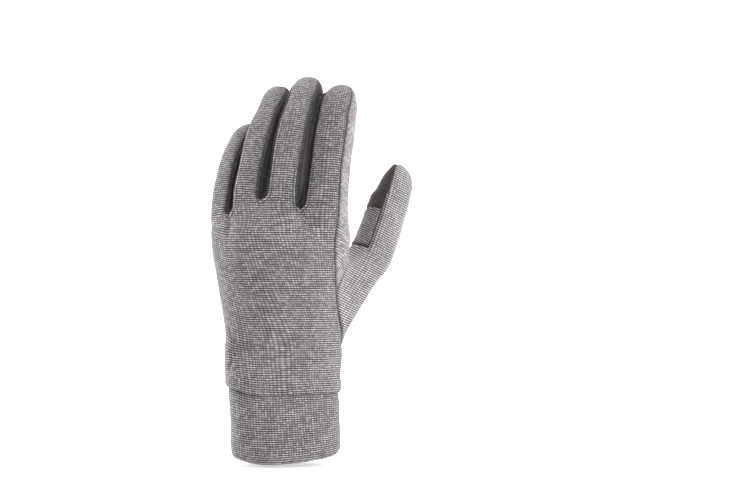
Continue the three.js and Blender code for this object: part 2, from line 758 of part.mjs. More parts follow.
// the thumb's tube: it leaves the edge of its hole, turns into a round tube and closes at the tip
function thumbTube(edge) {
  const count = edge.length;
  const lengths = edge.map((point, i) => point.distanceTo(edge[(i + 1) % count]));
  const total = lengths.reduce((sum, length) => sum + length, 0);
  let run = 0;
  const angles = lengths.map((length, i) => {
    const angle = halfTurn - fullTurn * mix(run / total, i / count, evenColumns);
    run += length;
    return angle;
  });
  const domeStart = 1 - thumbDomeShare * thumbWidth / 2 / thumbLength;
  const highest = Math.max(...edge.map((point) => point.z));
  const lowest = Math.min(...edge.map((point) => point.z));
  const rows = [];
  for (let row = 0; row <= flareRows; row += 1) {
    const v = row / flareRows;
    rows.push(edge.map((from, i) => {
      const to = thumbPoint(angles[i], tubeStart);
      const gap = to.distanceTo(from);
      const start = to.clone().sub(from).multiplyScalar(flareFrom);
      start.z += footRise * gap * ((highest - from.z) / (highest - lowest)) ** 2;
      return new THREE.Vector3()
        .addScaledVector(from, 2 * v ** 3 - 3 * v ** 2 + 1)
        .addScaledVector(start, v ** 3 - 2 * v ** 2 + v)
        .addScaledVector(to, 3 * v ** 2 - 2 * v ** 3)
        .addScaledVector(thumbAxis(tubeStart).along, gap * (v ** 3 - v ** 2));
    }));
  }
  for (const share of steps(tubeStart, domeStart, thumbRows).slice(1)) {
    rows.push(angles.map((angle) => thumbPoint(angle, share)));
  }
  for (let row = 1; row <= thumbEndRows; row += 1) {
    const dip = Math.PI / 2 * row / thumbEndRows;
    const share = mix(domeStart, 1, Math.sin(dip));
    rows.push(angles.map((angle) => thumbPoint(angle, share, Math.cos(dip))));
  }
  return rows.map((row) => [...row, row[0]]);
}

// the net of patches that makes the outer face
function makeNet() {
  const heights = rowHeights();
  const net = { back: handBack(heights), palm: handPalm(heights) };
  const last = handColumns;
  net.littleSide = handSide(0, crotchRow, heights.littleSide,
    (height) => {
      const { palm, back } = littleEdges(height);
      return [palm, back - fullTurn];
    },
    (row) => net.palm[row][last],
    (row) => net.back[row][0]);
  net.indexSide = handSide(fingers.length - 1, pointRow, heights.thumbSide,
    (height) => {
      const start = edgeAngle('thumbSide', height);
      const open = clamp((shareAt(height) - stripPoint) / (thumbCrotch - stripPoint), 0, 1);
      return [start, mix(start, -stripHalfAngle, open ** stripOpening)];
    },
    (row) => net.back[row][last],
    (row, points) => (row >= crotchRow ? net.palm[row][0] : points[sideColumns]));
  fingers.forEach((_, index) => {
    for (const face of Object.keys(faces)) net[`${face}${index}`] = fingerStrip(index, face);
    net[`end${index}`] = fingerEnd(index);
  });
  const down = net.indexSide.slice(0, crotchRow - pointRow + 1).map((row) => row[sideColumns]).reverse();
  const foot = net.back.slice(footRow, pointRow).map((row) => row[last]).reverse();
  const under = net.palm[footRow].slice(1, holeColumns + 1);
  const beside = net.palm.slice(footRow + 1, crotchRow + 1).map((row) => row[holeColumns]);
  const over = net.palm[crotchRow].slice(1, holeColumns).reverse();
  net.thumb = thumbTube([...down, ...foot, ...under, ...beside, ...over]);
  return net;
}

// shared corners of the net: one number for each place, and the outward direction there
class Skin {
  constructor(patches) {
    this.places = [];
    this.numbers = new Map();
    this.cells = new Map();
    for (const [name, rows] of Object.entries(patches)) this.cells.set(name, this.readPatch(rows));
    this.outward = this.places.map(() => new THREE.Vector3());
    for (const cells of this.cells.values()) {
      for (const { triangles } of cells) triangles.forEach((triangle) => this.addDirection(triangle));
    }
    this.outward.forEach((direction, number) => {
      if (this.places[number].z < heightAt(0) + seamGap) direction.z = 0;
      direction.normalize();
    });
  }

  numberOf(point) {
    const roundTo = 1000;
    const key = point.toArray().map((value) => Math.round(value * roundTo)).join();
    if (!this.numbers.has(key)) {
      this.numbers.set(key, this.places.length);
      this.places.push(point);
    }
    return this.numbers.get(key);
  }

  readPatch(rows) {
    const numbers = rows.map((row) => row.map((point) => (point ? this.numberOf(point) : -1)));
    const cells = [];
    for (let row = 0; row < rows.length - 1; row += 1) {
      for (let i = 0; i < rows[row].length - 1; i += 1) {
        const [a, b] = [numbers[row][i], numbers[row][i + 1]];
        const [d, c] = [numbers[row + 1][i], numbers[row + 1][i + 1]];
        if (Math.min(a, b, c, d) < 0) continue;
        const triangles = [[a, b, c], [a, c, d]].filter(([p, q, r]) => p !== q && q !== r && r !== p);
        cells.push({ row, column: i, triangles });
      }
    }
    return cells;
  }

  addDirection([a, b, c]) {
    const [p, q, r] = [a, b, c].map((number) => this.places[number]);
    const normal = q.clone().sub(p).cross(r.clone().sub(p));
    for (const number of [a, b, c]) this.outward[number].add(normal);
  }
}

// a panel of cloth: the chosen cells of the net, the same cells one wall further in, and its edges,
// split along the same diagonals as the neighbour's; its border is drawn in by half of the seams' gap
function panel(skin, name, choices, thickness, material) {
  const triangles = choices.flatMap(({ patch, keep = () => true }) => (
    skin.cells.get(patch).filter(keep).flatMap((cell) => cell.triangles)));
  const edges = new Map();
  for (const [a, b, c] of triangles) {
    for (const [p, q] of [[a, b], [b, c], [c, a]]) edges.set(`${p},${q}`, [p, q]);
  }
  const border = [...edges.values()].filter(([p, q]) => !edges.has(`${q},${p}`));
  const inwardSum = new Map();
  for (const [p, q] of border) {
    const run = skin.places[q].clone().sub(skin.places[p]).normalize();
    for (const number of [p, q]) {
      const inward = skin.outward[number].clone().cross(run).normalize();
      inwardSum.set(number, [...(inwardSum.get(number) ?? []), inward]);
    }
  }
  const drawn = (number) => {
    const directions = inwardSum.get(number);
    if (!directions) return new THREE.Vector3();
    const sum = directions.reduce((total, direction) => total.clone().add(direction));
    const share = sum.lengthSq() / directions.length;
    return sum.multiplyScalar(seamGap / 2 / Math.max(share, sharpestPoint));
  };
  const local = new Map();
  const vertices = [];
  const pointOf = (number, inner) => {
    const key = `${number},${inner}`;
    if (!local.has(key)) {
      local.set(key, vertices.length / 3);
      const point = skin.places[number].clone().add(drawn(number));
      if (inner) point.addScaledVector(skin.outward[number], -thickness);
      vertices.push(...point.toArray());
    }
    return local.get(key);
  };
  const index = [];
  for (const [a, b, c] of triangles) {
    index.push(pointOf(a, false), pointOf(b, false), pointOf(c, false));
    index.push(pointOf(a, true), pointOf(c, true), pointOf(b, true));
  }
  for (const [p, q] of border) {
    const [outerP, outerQ, innerP, innerQ] = [
      pointOf(p, false), pointOf(q, false), pointOf(p, true), pointOf(q, true)];
    if (p < q) index.push(outerQ, outerP, innerQ, outerP, innerP, innerQ);
    else index.push(outerQ, outerP, innerP, outerQ, innerP, innerQ);
  }
  return namedMesh(name, vertices, index, material);
}

function namedMesh(name, vertices, index, material) {
  const geometry = new THREE.BufferGeometry();
  geometry.setAttribute('position', new THREE.Float32BufferAttribute(vertices, 3));
  geometry.setIndex(index);
  geometry.computeVertexNormals();
  const mesh = new THREE.Mesh(geometry, material);
  mesh.name = name;
  return mesh;
}

// a point on the outer face of the cuff and the outward direction there
function cuffPoint(angle, share) {
  const left = wristLeft * column(cuffSections, 'left', share);
  const right = wristRight * column(cuffSections, 'right', share);
  const halfDepth = wristDepth / 2 * column(cuffSections, 'depth', share);
  const turn = radians(handSections[0].turn);
  const halfWidth = (left + right) / 2;
  const [x, y] = oval(halfWidth, halfDepth, handSquare, angle);
  const rise = column(mouthEdge, 'rise', x / halfWidth) * (1 - share);
  return new THREE.Vector3(
    (right - left) / 2 + x * Math.cos(turn) + y * Math.sin(turn),
    x * Math.sin(turn) - y * Math.cos(turn),
    cuffHeight * (share + rise));
}

// the cuff: cloth doubled by a fold at the mouth, from the seam down the outside, round the fold
// and up the inside
function cuff(material) {
  const top = 1 - seamGap / 2 / cuffHeight;
  const foldRadius = cuffWall / 2;
  const foldShare = foldRadius / cuffHeight;
  const profile = steps(top, foldShare, cuffRows).map((share) => ({ share, out: 0 }));
  for (let i = 1; i < foldSteps; i += 1) {
    const turn = Math.PI * i / foldSteps;
    profile.push({ share: foldShare * (1 - Math.sin(turn)), out: foldRadius * (Math.cos(turn) - 1) });
  }
  profile.push(...steps(foldShare, top, cuffRows).map((share) => ({ share, out: -cuffWall })));
  const around = 2 * handColumns;
  const vertices = [];
  for (const { share, out } of profile) {
    for (let i = 0; i < around; i += 1) {
      const angle = fullTurn * i / around;
      const point = cuffPoint(angle, share);
      const run = cuffPoint(angle + 1, share).sub(cuffPoint(angle - 1, share));
      const outward = new THREE.Vector3(-run.y, run.x, 0).normalize();
      vertices.push(...point.addScaledVector(outward, out).toArray());
    }
  }
  const index = [];
  profile.forEach((_, row) => {
    const next = (row + 1) % profile.length;
    for (let i = 0; i < around; i += 1) {
      const j = (i + 1) % around;
      const [a, b, c, d] = [row * around + i, row * around + j, next * around + j, next * around + i];
      index.push(a, b, c, a, c, d);
    }
  });
  return namedMesh('cuff', vertices, index, material);
}

// rows of a strip that belong to a touch patch of a given length, counted back from the tip
function patchRow(rows, columnIndex, length, lastRow) {
  let run = 0;
  let row = lastRow;
  while (row > 1 && run < length) {
    run += rows[row][columnIndex].distanceTo(rows[row - 1][columnIndex]);
    row -= 1;
  }
  return row;
}

// along the end of each slot the outward direction halves the angle between the slot's two sides
function turnSlotEnds(skin, net) {
  slots.forEach((_, i) => {
    const near = net[`index${i}`];
    const far = net[`little${i + 1}`];
    near[0].forEach((end, q) => {
      const outward = skin.outward[skin.numberOf(end)];
      const between = blend(near[1][q], far[1][sideColumns - q], 0.5).sub(end).normalize();
      const corner = q === 0 || q === sideColumns;
      outward.multiplyScalar(corner ? 1 : 0).add(between).normalize();
    });
  });
}

function makeGlove() {
  const net = makeNet();
  const skin = new Skin(net);
  turnSlotEnds(skin, net);
  const half = sideColumns / 2;
  const index = fingers.length - 1;
  const backHalf = ({ row }) => row < half;
  const palmHalf = ({ row }) => row >= half;
  const indexPatchRow = patchRow(net[`palm${index}`], half, indexPatchLength, fingerRows + endRows);
  const thumbLast = net.thumb.length - 1;
  const thumbPatchRow = patchRow(net.thumb, 0, thumbPatchLength, thumbLast);
  const around = net.thumb[0].length - 1;
  const onThumbStrip = ({ row, column: i }) => (
    row >= thumbStripStart && (i < stripColumnsOnBack || i >= around - stripColumnsOnPalm));
  const group = new THREE.Group();
  const add = (name, choices, material) => group.add(panel(skin, name, choices, wall, material));

  add('back_panel', [
    { patch: 'back' }, { patch: 'littleSide' }, { patch: 'little0' },
    ...fingers.flatMap((_, i) => [{ patch: `back${i}` }, { patch: `end${i}`, keep: backHalf }]),
  ], heather);
  add('palm_panel', [
    { patch: 'palm' },
    ...fingers.slice(0, index).flatMap((_, i) => [{ patch: `palm${i}` }, { patch: `end${i}`, keep: palmHalf }]),
    { patch: `palm${index}`, keep: ({ row }) => row < indexPatchRow },
  ], heather);
  add('index_touch_patch', [
    { patch: `palm${index}`, keep: ({ row }) => row >= indexPatchRow },
    { patch: `end${index}`, keep: palmHalf },
  ], suede);
  add('index_side_strip', [{ patch: 'indexSide' }, { patch: `index${index}` }], heather);
  slots.forEach((slot, i) => {
    add(`fourchette_${slot.name}`, [{ patch: `index${i}` }, { patch: `little${i + 1}` }], shadedHeather);
  });
  add('thumb', [{ patch: 'thumb', keep: (cell) => !onThumbStrip(cell) }], heather);
  add('thumb_palm_strip', [
    { patch: 'thumb', keep: (cell) => onThumbStrip(cell) && cell.row < thumbPatchRow },
  ], heather);
  add('thumb_touch_patch', [
    { patch: 'thumb', keep: (cell) => onThumbStrip(cell) && cell.row >= thumbPatchRow },
  ], suede);
  group.add(cuff(heather));
  return group;
}

export default makeGlove();
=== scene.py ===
import bpy
import numpy as np
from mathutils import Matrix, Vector


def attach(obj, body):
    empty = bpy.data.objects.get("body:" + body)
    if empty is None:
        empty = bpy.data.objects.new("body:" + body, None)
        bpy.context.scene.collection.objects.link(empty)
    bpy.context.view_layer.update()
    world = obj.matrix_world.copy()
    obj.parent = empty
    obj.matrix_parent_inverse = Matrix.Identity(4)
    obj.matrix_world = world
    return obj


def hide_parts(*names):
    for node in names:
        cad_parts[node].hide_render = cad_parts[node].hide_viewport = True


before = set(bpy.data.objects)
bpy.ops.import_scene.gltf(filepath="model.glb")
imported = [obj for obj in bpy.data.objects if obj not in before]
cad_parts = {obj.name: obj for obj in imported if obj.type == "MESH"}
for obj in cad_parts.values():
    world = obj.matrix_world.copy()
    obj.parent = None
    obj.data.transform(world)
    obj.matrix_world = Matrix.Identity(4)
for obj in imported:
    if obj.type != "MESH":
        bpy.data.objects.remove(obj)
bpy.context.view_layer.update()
mm = 0.001  # shapes are worked out in millimetres and put into the meshes in metres

# A knitted glove for the left hand, in the shape that a hand gives it.
# The shape functions below take whole arrays: angle round a section, height or distance along.

handShape = dict(  # mm and degrees; places up the hand are shares of palmLength
    cuffHeight=46.1, palmLength=126.5, wristLeft=40.4, wristRight=36.0, wristDepth=42.0,
    palmDepth=34.0, square=2.35, knuckleLeftShare=0.57, knuckleRightShare=0.55,
    littleWeb=0.905, indexWeb=0.937, gussetFoot=0.24, stripPoint=0.502, thumbCrotch=0.755,
    littlePoint=0.802, stripOpening=1.5, lowestLittleColumn=174.0, backBlend=0.206, palmBlend=0.158)

# left, right and depth are shares of the way from the wrist's measures to the knuckles', turn is in
# degrees and arch is a share of palmDepth
handSections = dict(
    at=[0.000, 0.107, 0.265, 0.407, 0.565, 0.739, 0.866, 1.000],
    left=[-0.20, -0.08, 0.00, 0.09, 0.43, 0.86, 1.02, 1.00],
    right=[0.00, 0.00, 0.42, 0.22, 0.35, 0.79, 1.00, 1.00],
    depth=[-0.10, 0.10, 0.38, 0.50, 0.62, 0.75, 1.00, 1.25],
    turn=[5, 3, -2, -6, -10, -14, -17, -18],
    arch=[0.00, 0.00, 0.03, 0.06, 0.12, 0.21, 0.27, 0.29])

panelEdges = dict(  # edges of the back panel in degrees round the hand
    at=[0.000, 0.240, 0.502, 0.763, 1.000],
    thumbSide=[6, 10, 24, 34, 40],
    littleSide=[172, 170, 172, 176, 178])

fingerShapes = [  # little, ring, middle, index
    dict(length=72.0, width=20.0, depth=17.5, root=0.921, turn=-42, lean=-4.5, bendRoot=6, bendTip=48),
    dict(length=94.0, width=20.5, depth=20.0, root=0.960, turn=-27, lean=3.8, bendRoot=6, bendTip=46),
    dict(length=98.0, width=24.5, depth=21.0, root=0.976, turn=-21, lean=3.2, bendRoot=6, bendTip=42),
    dict(length=92.0, width=28.0, depth=21.5, root=0.945, turn=-19, lean=1.6, bendRoot=4, bendTip=34)]
knuckleSteps = [(0.4, -43.0), (3.05, -17.5), (1.45, -4.9)]  # room between fingers, direction of the step
middleRoot = (-0.6, -3.0)
slotEnds = dict(back=[0.921, 1.000, 0.953], palm=[0.960, 1.047, 1.000])
fingerForm = dict(square=2.7, tipSquare=2.1, slotRound=5.0, slotDepthReach=16.0, halfAngle=44.0,
                  tipHalfAngle=34.0, taperStart=0.7, domeShare=0.72, domeCut=52.0, roundFrom=0.5,
                  roundOver=0.3)
fingerProfile = dict(at=[0.0, 0.3, 0.55, 0.8, 1.0], width=[1.00, 0.96, 0.97, 0.95, 0.95],
                     depth=[1.00, 0.97, 0.98, 0.93, 0.90])

thumbShape = dict(
    length=115.5, width=27.5, depth=25.0, square=2.3, acrossHand=0.55, acrossThumb=0.5, forward=0.41,
    height=0.375, lean=20.4, tilt=11.0, bow=0.042, domeShare=1.25, tubeStart=0.42, flareFrom=0.6,
    footRise=0.4, evenColumns=0.7, holeReach=86.0, holeFullness=0.8, holeLowCorner=0.74, holeHighCorner=0.30)
thumbProfile = dict(  # inner is the side to the index finger, pressed flat under the pad
    at=[0.0, 0.4, 0.7, 0.76, 0.81, 0.88, 1.0], width=[1.10, 1.08, 1.00, 0.99, 0.98, 0.97, 0.95],
    depth=[1.10, 1.04, 1.00, 0.98, 0.96, 0.93, 0.90], inner=[1.00, 1.00, 1.00, 0.98, 0.80, 0.66, 0.50])

meshSteps = dict(strip=16, side=30, finger=190, end=26, seamToFoot=84, footToPoint=58,
                 pointToCrotch=72, crotchToWeb=50, hole=30, thumbSkip=2, flare=92, thumb=126,
                 thumbEnd=32)

dents = [  # angle round the hand, height share, half extents, depth in mm
    dict(angle=-35, at=0.255, wide=60, high=0.035, deep=2.0),
    dict(angle=-110, at=0.62, wide=34, high=0.20, deep=3.2),
    dict(angle=160, at=0.30, wide=16, high=0.05, deep=1.8),
    dict(angle=88, at=0.86, wide=12, high=0.08, deep=1.0),
    dict(angle=95, at=0.07, wide=60, high=0.05, deep=1.4)]


def curveThrough(table, key, at):
    # cubic curve through the table's column, with slopes from the neighbouring rows
    x = np.array(table['at'], float)
    y = np.array(table[key], float)
    places = np.arange(len(x))
    before = np.maximum(places - 1, 0)
    after = np.minimum(places + 1, len(x) - 1)
    slope = (y[after] - y[before]) / (x[after] - x[before])
    at = np.clip(at, x[0], x[-1])
    i = np.clip(np.searchsorted(x, at, side='right') - 1, 0, len(x) - 2)
    step = x[i + 1] - x[i]
    t = (at - x[i]) / step
    return ((2 * t**3 - 3 * t**2 + 1) * y[i] + (t**3 - 2 * t**2 + t) * step * slope[i]
            + (3 * t**2 - 2 * t**3) * y[i + 1] + (t**3 - t**2) * step * slope[i + 1])


def mix(a, b, t):
    # straight line from a at t = 0 to b at t = 1
    return a + (b - a) * t


def ease(t):
    # smooth step from 0 to 1: three squares less two cubes of t
    t = np.clip(t, 0, 1)
    return t * t * (3 - 2 * t)


def signedPower(value, power):
    # power of the value's size, with the value's own sign
    return np.sign(value) * np.abs(value)**power


def shares(count):
    # 0 to 1, closer together at both ends: mean of a straight line and half a cosine wave
    t = np.linspace(0, 1, count + 1)
    return t / 2 + (1 - np.cos(np.pi * t)) / 4


def wrapAngle(angle):
    # the same direction as an angle from -180 to 180 degrees
    return (np.asarray(angle, float) + 180) % 360 - 180


def stack(x, y, z):
    # three coordinates side by side in one array of points
    return np.stack(np.broadcast_arrays(x, y, z), -1)


def unit(vectors):
    # each vector divided by its length
    return vectors / np.maximum(np.linalg.norm(vectors, axis=-1, keepdims=True), 1e-9)


def heightAt(share):
    # height of a place up the hand: the cuff's height and a share of the palm's length
    return handShape['cuffHeight'] + handShape['palmLength'] * share


def shareAt(height):
    # the other way round: share of the palm's length at a height
    return (height - handShape['cuffHeight']) / handShape['palmLength']


def placeRoots():
    # roots of the fingers, stepped out from the middle finger by half widths and room
    fingerShapes[2]['x'], fingerShapes[2]['y'] = middleRoot
    for start, end, sign in ((2, 1, -1), (1, 0, -1), (2, 3, 1)):
        a, b = fingerShapes[start], fingerShapes[end]
        room, direction = knuckleSteps[min(start, end)]
        step = sign * ((a['width'] + b['width']) / 2 + room)
        b['x'] = a['x'] + step * np.cos(np.radians(direction))
        b['y'] = a['y'] + step * np.sin(np.radians(direction))


placeRoots()
knuckleLeft = handShape['knuckleLeftShare'] * fingerShapes[0]['width'] - fingerShapes[0]['x']
knuckleRight = fingerShapes[3]['x'] + handShape['knuckleRightShare'] * fingerShapes[3]['width']


def squareAt(index, along):
    # a finger's section is squarer at the root than at the tip
    share = along / fingerShapes[index]['length']
    rounding = ease((share - fingerForm['roundFrom']) / fingerForm['roundOver'])
    return mix(fingerForm['square'], fingerForm['tipSquare'], rounding)


def oval(halfWidth, halfDepth, square, angle):
    # superellipse: powers of cosine and sine
    t = np.radians(angle)
    return (halfWidth * signedPower(np.cos(t), 2 / square),
            halfDepth * signedPower(np.sin(t), 2 / square))


def handSection(height):
    # middle, half width, half depth, turn and arch of the hand; the half width is that of a turned
    # ellipse, whose reach squared is (half width x cosine) squared plus (half depth x sine) squared
    h = handShape
    at = shareAt(height)
    left = -mix(h['wristLeft'], knuckleLeft, curveThrough(handSections, 'left', at))
    right = mix(h['wristRight'], knuckleRight, curveThrough(handSections, 'right', at))
    halfDepth = mix(h['wristDepth'], h['palmDepth'], curveThrough(handSections, 'depth', at)) / 2
    turn = np.radians(curveThrough(handSections, 'turn', at))
    reach = (right - left) / 2
    halfWidth = np.sqrt(reach**2 - (halfDepth * np.sin(turn))**2) / np.cos(turn)
    arch = h['palmDepth'] * curveThrough(handSections, 'arch', at)
    return (left + right) / 2, halfWidth, halfDepth, turn, arch


def handPoint(angle, height):
    # superellipse of the section, arched over the palm, pressed in by the dents, turned about Z
    middle, halfWidth, halfDepth, turn, arch = handSection(height)
    x, y = oval(halfWidth, halfDepth, handShape['square'], angle)
    y = y - arch * ((x / halfWidth)**2 - 0.5)
    depth = 0
    for d in dents:
        aside = wrapAngle(angle - d['angle']) / d['wide']
        over = (shareAt(height) - d['at']) / d['high']
        depth = depth + d['deep'] * np.exp(-(aside**2 + over**2))
    shrink = 1 - depth / np.hypot(x, y)
    x, y = x * shrink, y * shrink
    return stack(middle + x * np.cos(turn) + y * np.sin(turn), x * np.sin(turn) - y * np.cos(turn), height)


def handAngle(point, side):
    # angle of a point round the hand's section: arc cosine of its place across, with the section's power
    middle, halfWidth, _, turn, _ = handSection(point[..., 2])
    x = (point[..., 0] - middle) * np.cos(turn) + point[..., 1] * np.sin(turn)
    cosine = np.clip(signedPower(x / halfWidth, handShape['square'] / 2), -1, 1)
    return side * np.degrees(np.arccos(cosine))


def fingerPoint(index, angle, along, out=1.0):
    # superellipse carried along an arc that bends towards the palm
    f = fingerShapes[index]
    turn, lean = np.radians(f['turn']), np.radians(f['lean'])
    root = np.radians(f['bendRoot'])
    rate = (np.radians(f['bendTip']) - root) / f['length']
    across = np.array([np.cos(turn) * np.cos(lean), np.sin(turn) * np.cos(lean), -np.sin(lean)])
    up = np.array([np.cos(turn) * np.sin(lean), np.sin(turn) * np.sin(lean), np.cos(lean)])
    palmward = np.array([-np.sin(turn), np.cos(turn), 0])
    bend = root + rate * np.maximum(along, 0)
    before = np.minimum(along, 0)
    rise = (np.sin(bend) - np.sin(root)) / rate + before * np.cos(root)
    drop = (np.cos(root) - np.cos(bend)) / rate + before * np.sin(root)
    share = along / f['length']
    x, y = oval(f['width'] / 2 * curveThrough(fingerProfile, 'width', share) * out,
                f['depth'] / 2 * curveThrough(fingerProfile, 'depth', share) * out,
                squareAt(index, along), angle)
    base = np.array([f['x'], f['y'], heightAt(f['root'])])
    return (base + (rise + y * np.sin(bend))[..., None] * up
            + (drop - y * np.cos(bend))[..., None] * palmward + x[..., None] * across)


def alongSlope(index):
    # height gained per mm along the finger at its root: cosine of its bend times cosine of its lean
    f = fingerShapes[index]
    return np.cos(np.radians(f['bendRoot'])) * np.cos(np.radians(f['lean']))


def alongAt(index, height):
    # distance along a finger at a height: height over the root by the slope
    return (height - heightAt(fingerShapes[index]['root'])) / alongSlope(index)


def heightAlong(index, along):
    # the other way round: height at a distance along a finger
    return heightAt(fingerShapes[index]['root']) + along * alongSlope(index)


def slotMiddle(slot, angle, height):
    # halfway between a finger's side and the facing side of the next finger
    onNext = np.where(angle >= 0, 180 - angle, -180 - angle)
    return (fingerPoint(slot, angle, alongAt(slot, height))
            + fingerPoint(slot + 1, onNext, alongAt(slot + 1, height))) / 2


def closeSlot(index, side, angle, along, start):
    # how far a point beside a slot moves so that the slot closes along a quarter circle at its end;
    # the part of the move towards the palm fades out over a longer way
    slot = index - 1 + side
    if slot < 0 or slot > 2:
        return 0.0
    angle = np.broadcast_to(np.asarray(angle, float), np.shape(along))
    onFirst = angle if side else wrapAngle(np.where(angle >= 0, 180 - angle, -180 - angle))
    t = np.clip((along - start) / fingerForm['slotRound'], 0, 1)
    closing = 1 - np.sqrt(np.maximum(1 - (1 - t)**2, 0))
    sinking = 1 - ease((along - start) / fingerForm['slotDepthReach'])
    move = slotMiddle(slot, onFirst, heightAlong(index, along)) - fingerPoint(index, angle, along)
    turn = np.radians(fingerShapes[index]['turn'])
    palmward = np.array([-np.sin(turn), np.cos(turn), 0])
    depth = (move @ palmward)[..., None] * palmward
    return (move - depth) * closing[..., None] + depth * sinking[..., None]


# faces of a finger: kind of strip, and the slot side (0 little, 1 thumb) and panel at its two edges
faces = dict(back=('strip', (0, 'back'), (1, 'back')), index=('side', (1, 'back'), (1, 'palm')),
             palm=('strip', (1, 'palm'), (0, 'palm')), little=('side', (0, 'palm'), (0, 'back')))


def stripSpan(face, half):
    # first and last angle of a face round the finger; the side faces reach half to both sides
    return dict(back=(180 - half, half), index=(half, -half), palm=(-half, half - 180),
                little=(half - 180, -half - 180))[face]


def halfAngleAt(index, along):
    # the side faces grow narrower from taperStart to the tip
    share = along / fingerShapes[index]['length']
    start = fingerForm['taperStart']
    return mix(fingerForm['halfAngle'], fingerForm['tipHalfAngle'], ease((share - start) / (1 - start)))


def webHeight(index, side, face):
    # height at which a finger's edge starts: the end of its slot, or the root at the hand's two sides
    slot = index - 1 + side
    if slot < 0:
        return heightAt(handShape['littleWeb'])
    return heightAt(handShape['indexWeb'] if slot > 2 else slotEnds[face][slot])


def domeOf(index):
    # start and height of the fingertip's dome: the last domeShare of a width along the finger
    f = fingerShapes[index]
    dome = f['width'] * fingerForm['domeShare']
    return f['length'] - dome, dome


clothWidth = dict(strip=23.0, side=15.0)  # cloth across one strip, mm
strandTurn = dict(index=-38.0, little=38.0)  # slant of the courses on the strips between the fingers


def clothCoordinates(face, across, along):
    # cloth coordinates in mm: across and along, turned on the side strips
    if face not in strandTurn:
        return stack(across, along, 0)[..., :2]
    turn = np.radians(strandTurn[face])
    return stack(across * np.cos(turn) + along * np.sin(turn),
                 along * np.cos(turn) - across * np.sin(turn), 0)[..., :2]


def pullEdge(points, index, side, angle, along, start, weight):
    # a strip moves with its edge beside a slot, by the weight of each column
    move = closeSlot(index, side, angle, along, start)
    return points + np.reshape(move, (-1, 1, 3) if np.ndim(move) else ()) * weight[:, None]


def fingerStrip(index, face):
    # one face of a finger: rows from root to dome, then the dome down to the end patch
    name, (sideA, _), (sideB, _) = faces[face]
    count = meshSteps[name]
    q = shares(count)
    domeStart, dome = domeOf(index)
    first, last = faces[face][1], faces[face][2]
    starts = alongAt(index, mix(webHeight(index, *first), webHeight(index, *last), q))
    share = np.linspace(0, 1, meshSteps['finger'] + 1)[:, None]
    along = mix(starts[None], domeStart, share)
    lo, hi = stripSpan(face, halfAngleAt(index, along))
    angle = wrapAngle(mix(lo, hi, q[None]))
    points = fingerPoint(index, angle, along)
    if name == 'side':
        points = points + closeSlot(index, sideA, angle, along, starts[None])
    else:
        for side, weight, edge, i in ((sideA, 1 - q, lo, 0), (sideB, q, hi, -1)):
            points = pullEdge(points, index, side, wrapAngle(edge[:, i]), along[:, i], starts[i], weight)
    dip = (np.radians(fingerForm['domeCut']) * np.linspace(0, 1, meshSteps['end'] + 1)[1:])[:, None]
    domeAlong = domeStart + dome * np.sin(dip) + 0 * q[None]
    lo, hi = stripSpan(face, halfAngleAt(index, domeAlong))
    points = np.concatenate([points, fingerPoint(index, mix(lo, hi, q[None]), domeAlong, np.cos(dip))])
    allAlong = heightAlong(index, np.concatenate([along, domeStart + dome * dip + 0 * q[None]]))
    column = index if face == 'back' else 3 - index
    cloth = clothCoordinates(face, clothWidth[name] * (q[None] + column) + 0 * allAlong, allAlong)
    return points, cloth


def fingerEnd(index):
    # a patch that blends the last rows of the four faces over the top of the dome, back to palm
    square = fingerForm['tipSquare']
    domeStart, dome = domeOf(index)
    dip = np.radians(fingerForm['domeCut'])
    half = halfAngleAt(index, domeStart + dome * np.sin(dip))

    def edge(face, count):
        # the face's last row, flattened to a unit superellipse
        lo, hi = stripSpan(face, half)
        return np.stack(oval(np.cos(dip), np.cos(dip), square, mix(lo, hi, shares(count))), -1)

    back, palm = edge('back', meshSteps['strip']), edge('palm', meshSteps['strip'])[::-1]
    little, thumbSide = edge('little', meshSteps['side'])[::-1], edge('index', meshSteps['side'])
    u, v = shares(meshSteps['strip'])[None, :, None], shares(meshSteps['side'])[:, None, None]
    flat = ((1 - v) * back[None] + v * palm[None] + (1 - u) * little[:, None] + u * thumbSide[:, None]
            - (1 - u) * (1 - v) * back[0] - u * (1 - v) * back[-1] - (1 - u) * v * palm[0] - u * v * palm[-1])
    out = np.clip((np.abs(flat)**square).sum(-1)**(1 / square), 1e-9, 1)
    angle = np.degrees(np.arctan2(signedPower(flat[..., 1] / out, square / 2),
                                  signedPower(flat[..., 0] / out, square / 2)))
    points = fingerPoint(index, angle, domeStart + dome * np.sqrt(1 - out**2), out)
    middle = clothWidth['strip'] * (index + 0.5)
    across = middle + flat[..., 0] * fingerShapes[index]['width'] / 2
    return points, stack(across, heightAlong(index, domeStart + dome * np.arccos(out)), 0)[..., :2]


def rowHeights():
    # heights of the rows at the thumb side and at the little side, even between the marks of each side
    h, s = handShape, meshSteps
    thumbSide = [np.linspace(heightAt(a), heightAt(b), n + 1)[1:] for a, b, n in (
        (0, h['gussetFoot'], s['seamToFoot']), (h['gussetFoot'], h['stripPoint'], s['footToPoint']),
        (h['stripPoint'], h['thumbCrotch'], s['pointToCrotch']),
        (h['thumbCrotch'], h['indexWeb'], s['crotchToWeb']))]
    below = s['seamToFoot'] + s['footToPoint'] + s['pointToCrotch']
    littleSide = [np.linspace(heightAt(0), heightAt(h['littlePoint']), below + 1)[1:],
                  np.linspace(heightAt(h['littlePoint']), heightAt(h['littleWeb']), s['crotchToWeb'] + 1)[1:]]
    wristSeam = [[heightAt(0)]]
    return np.concatenate(wristSeam + thumbSide), np.concatenate(wristSeam + littleSide)


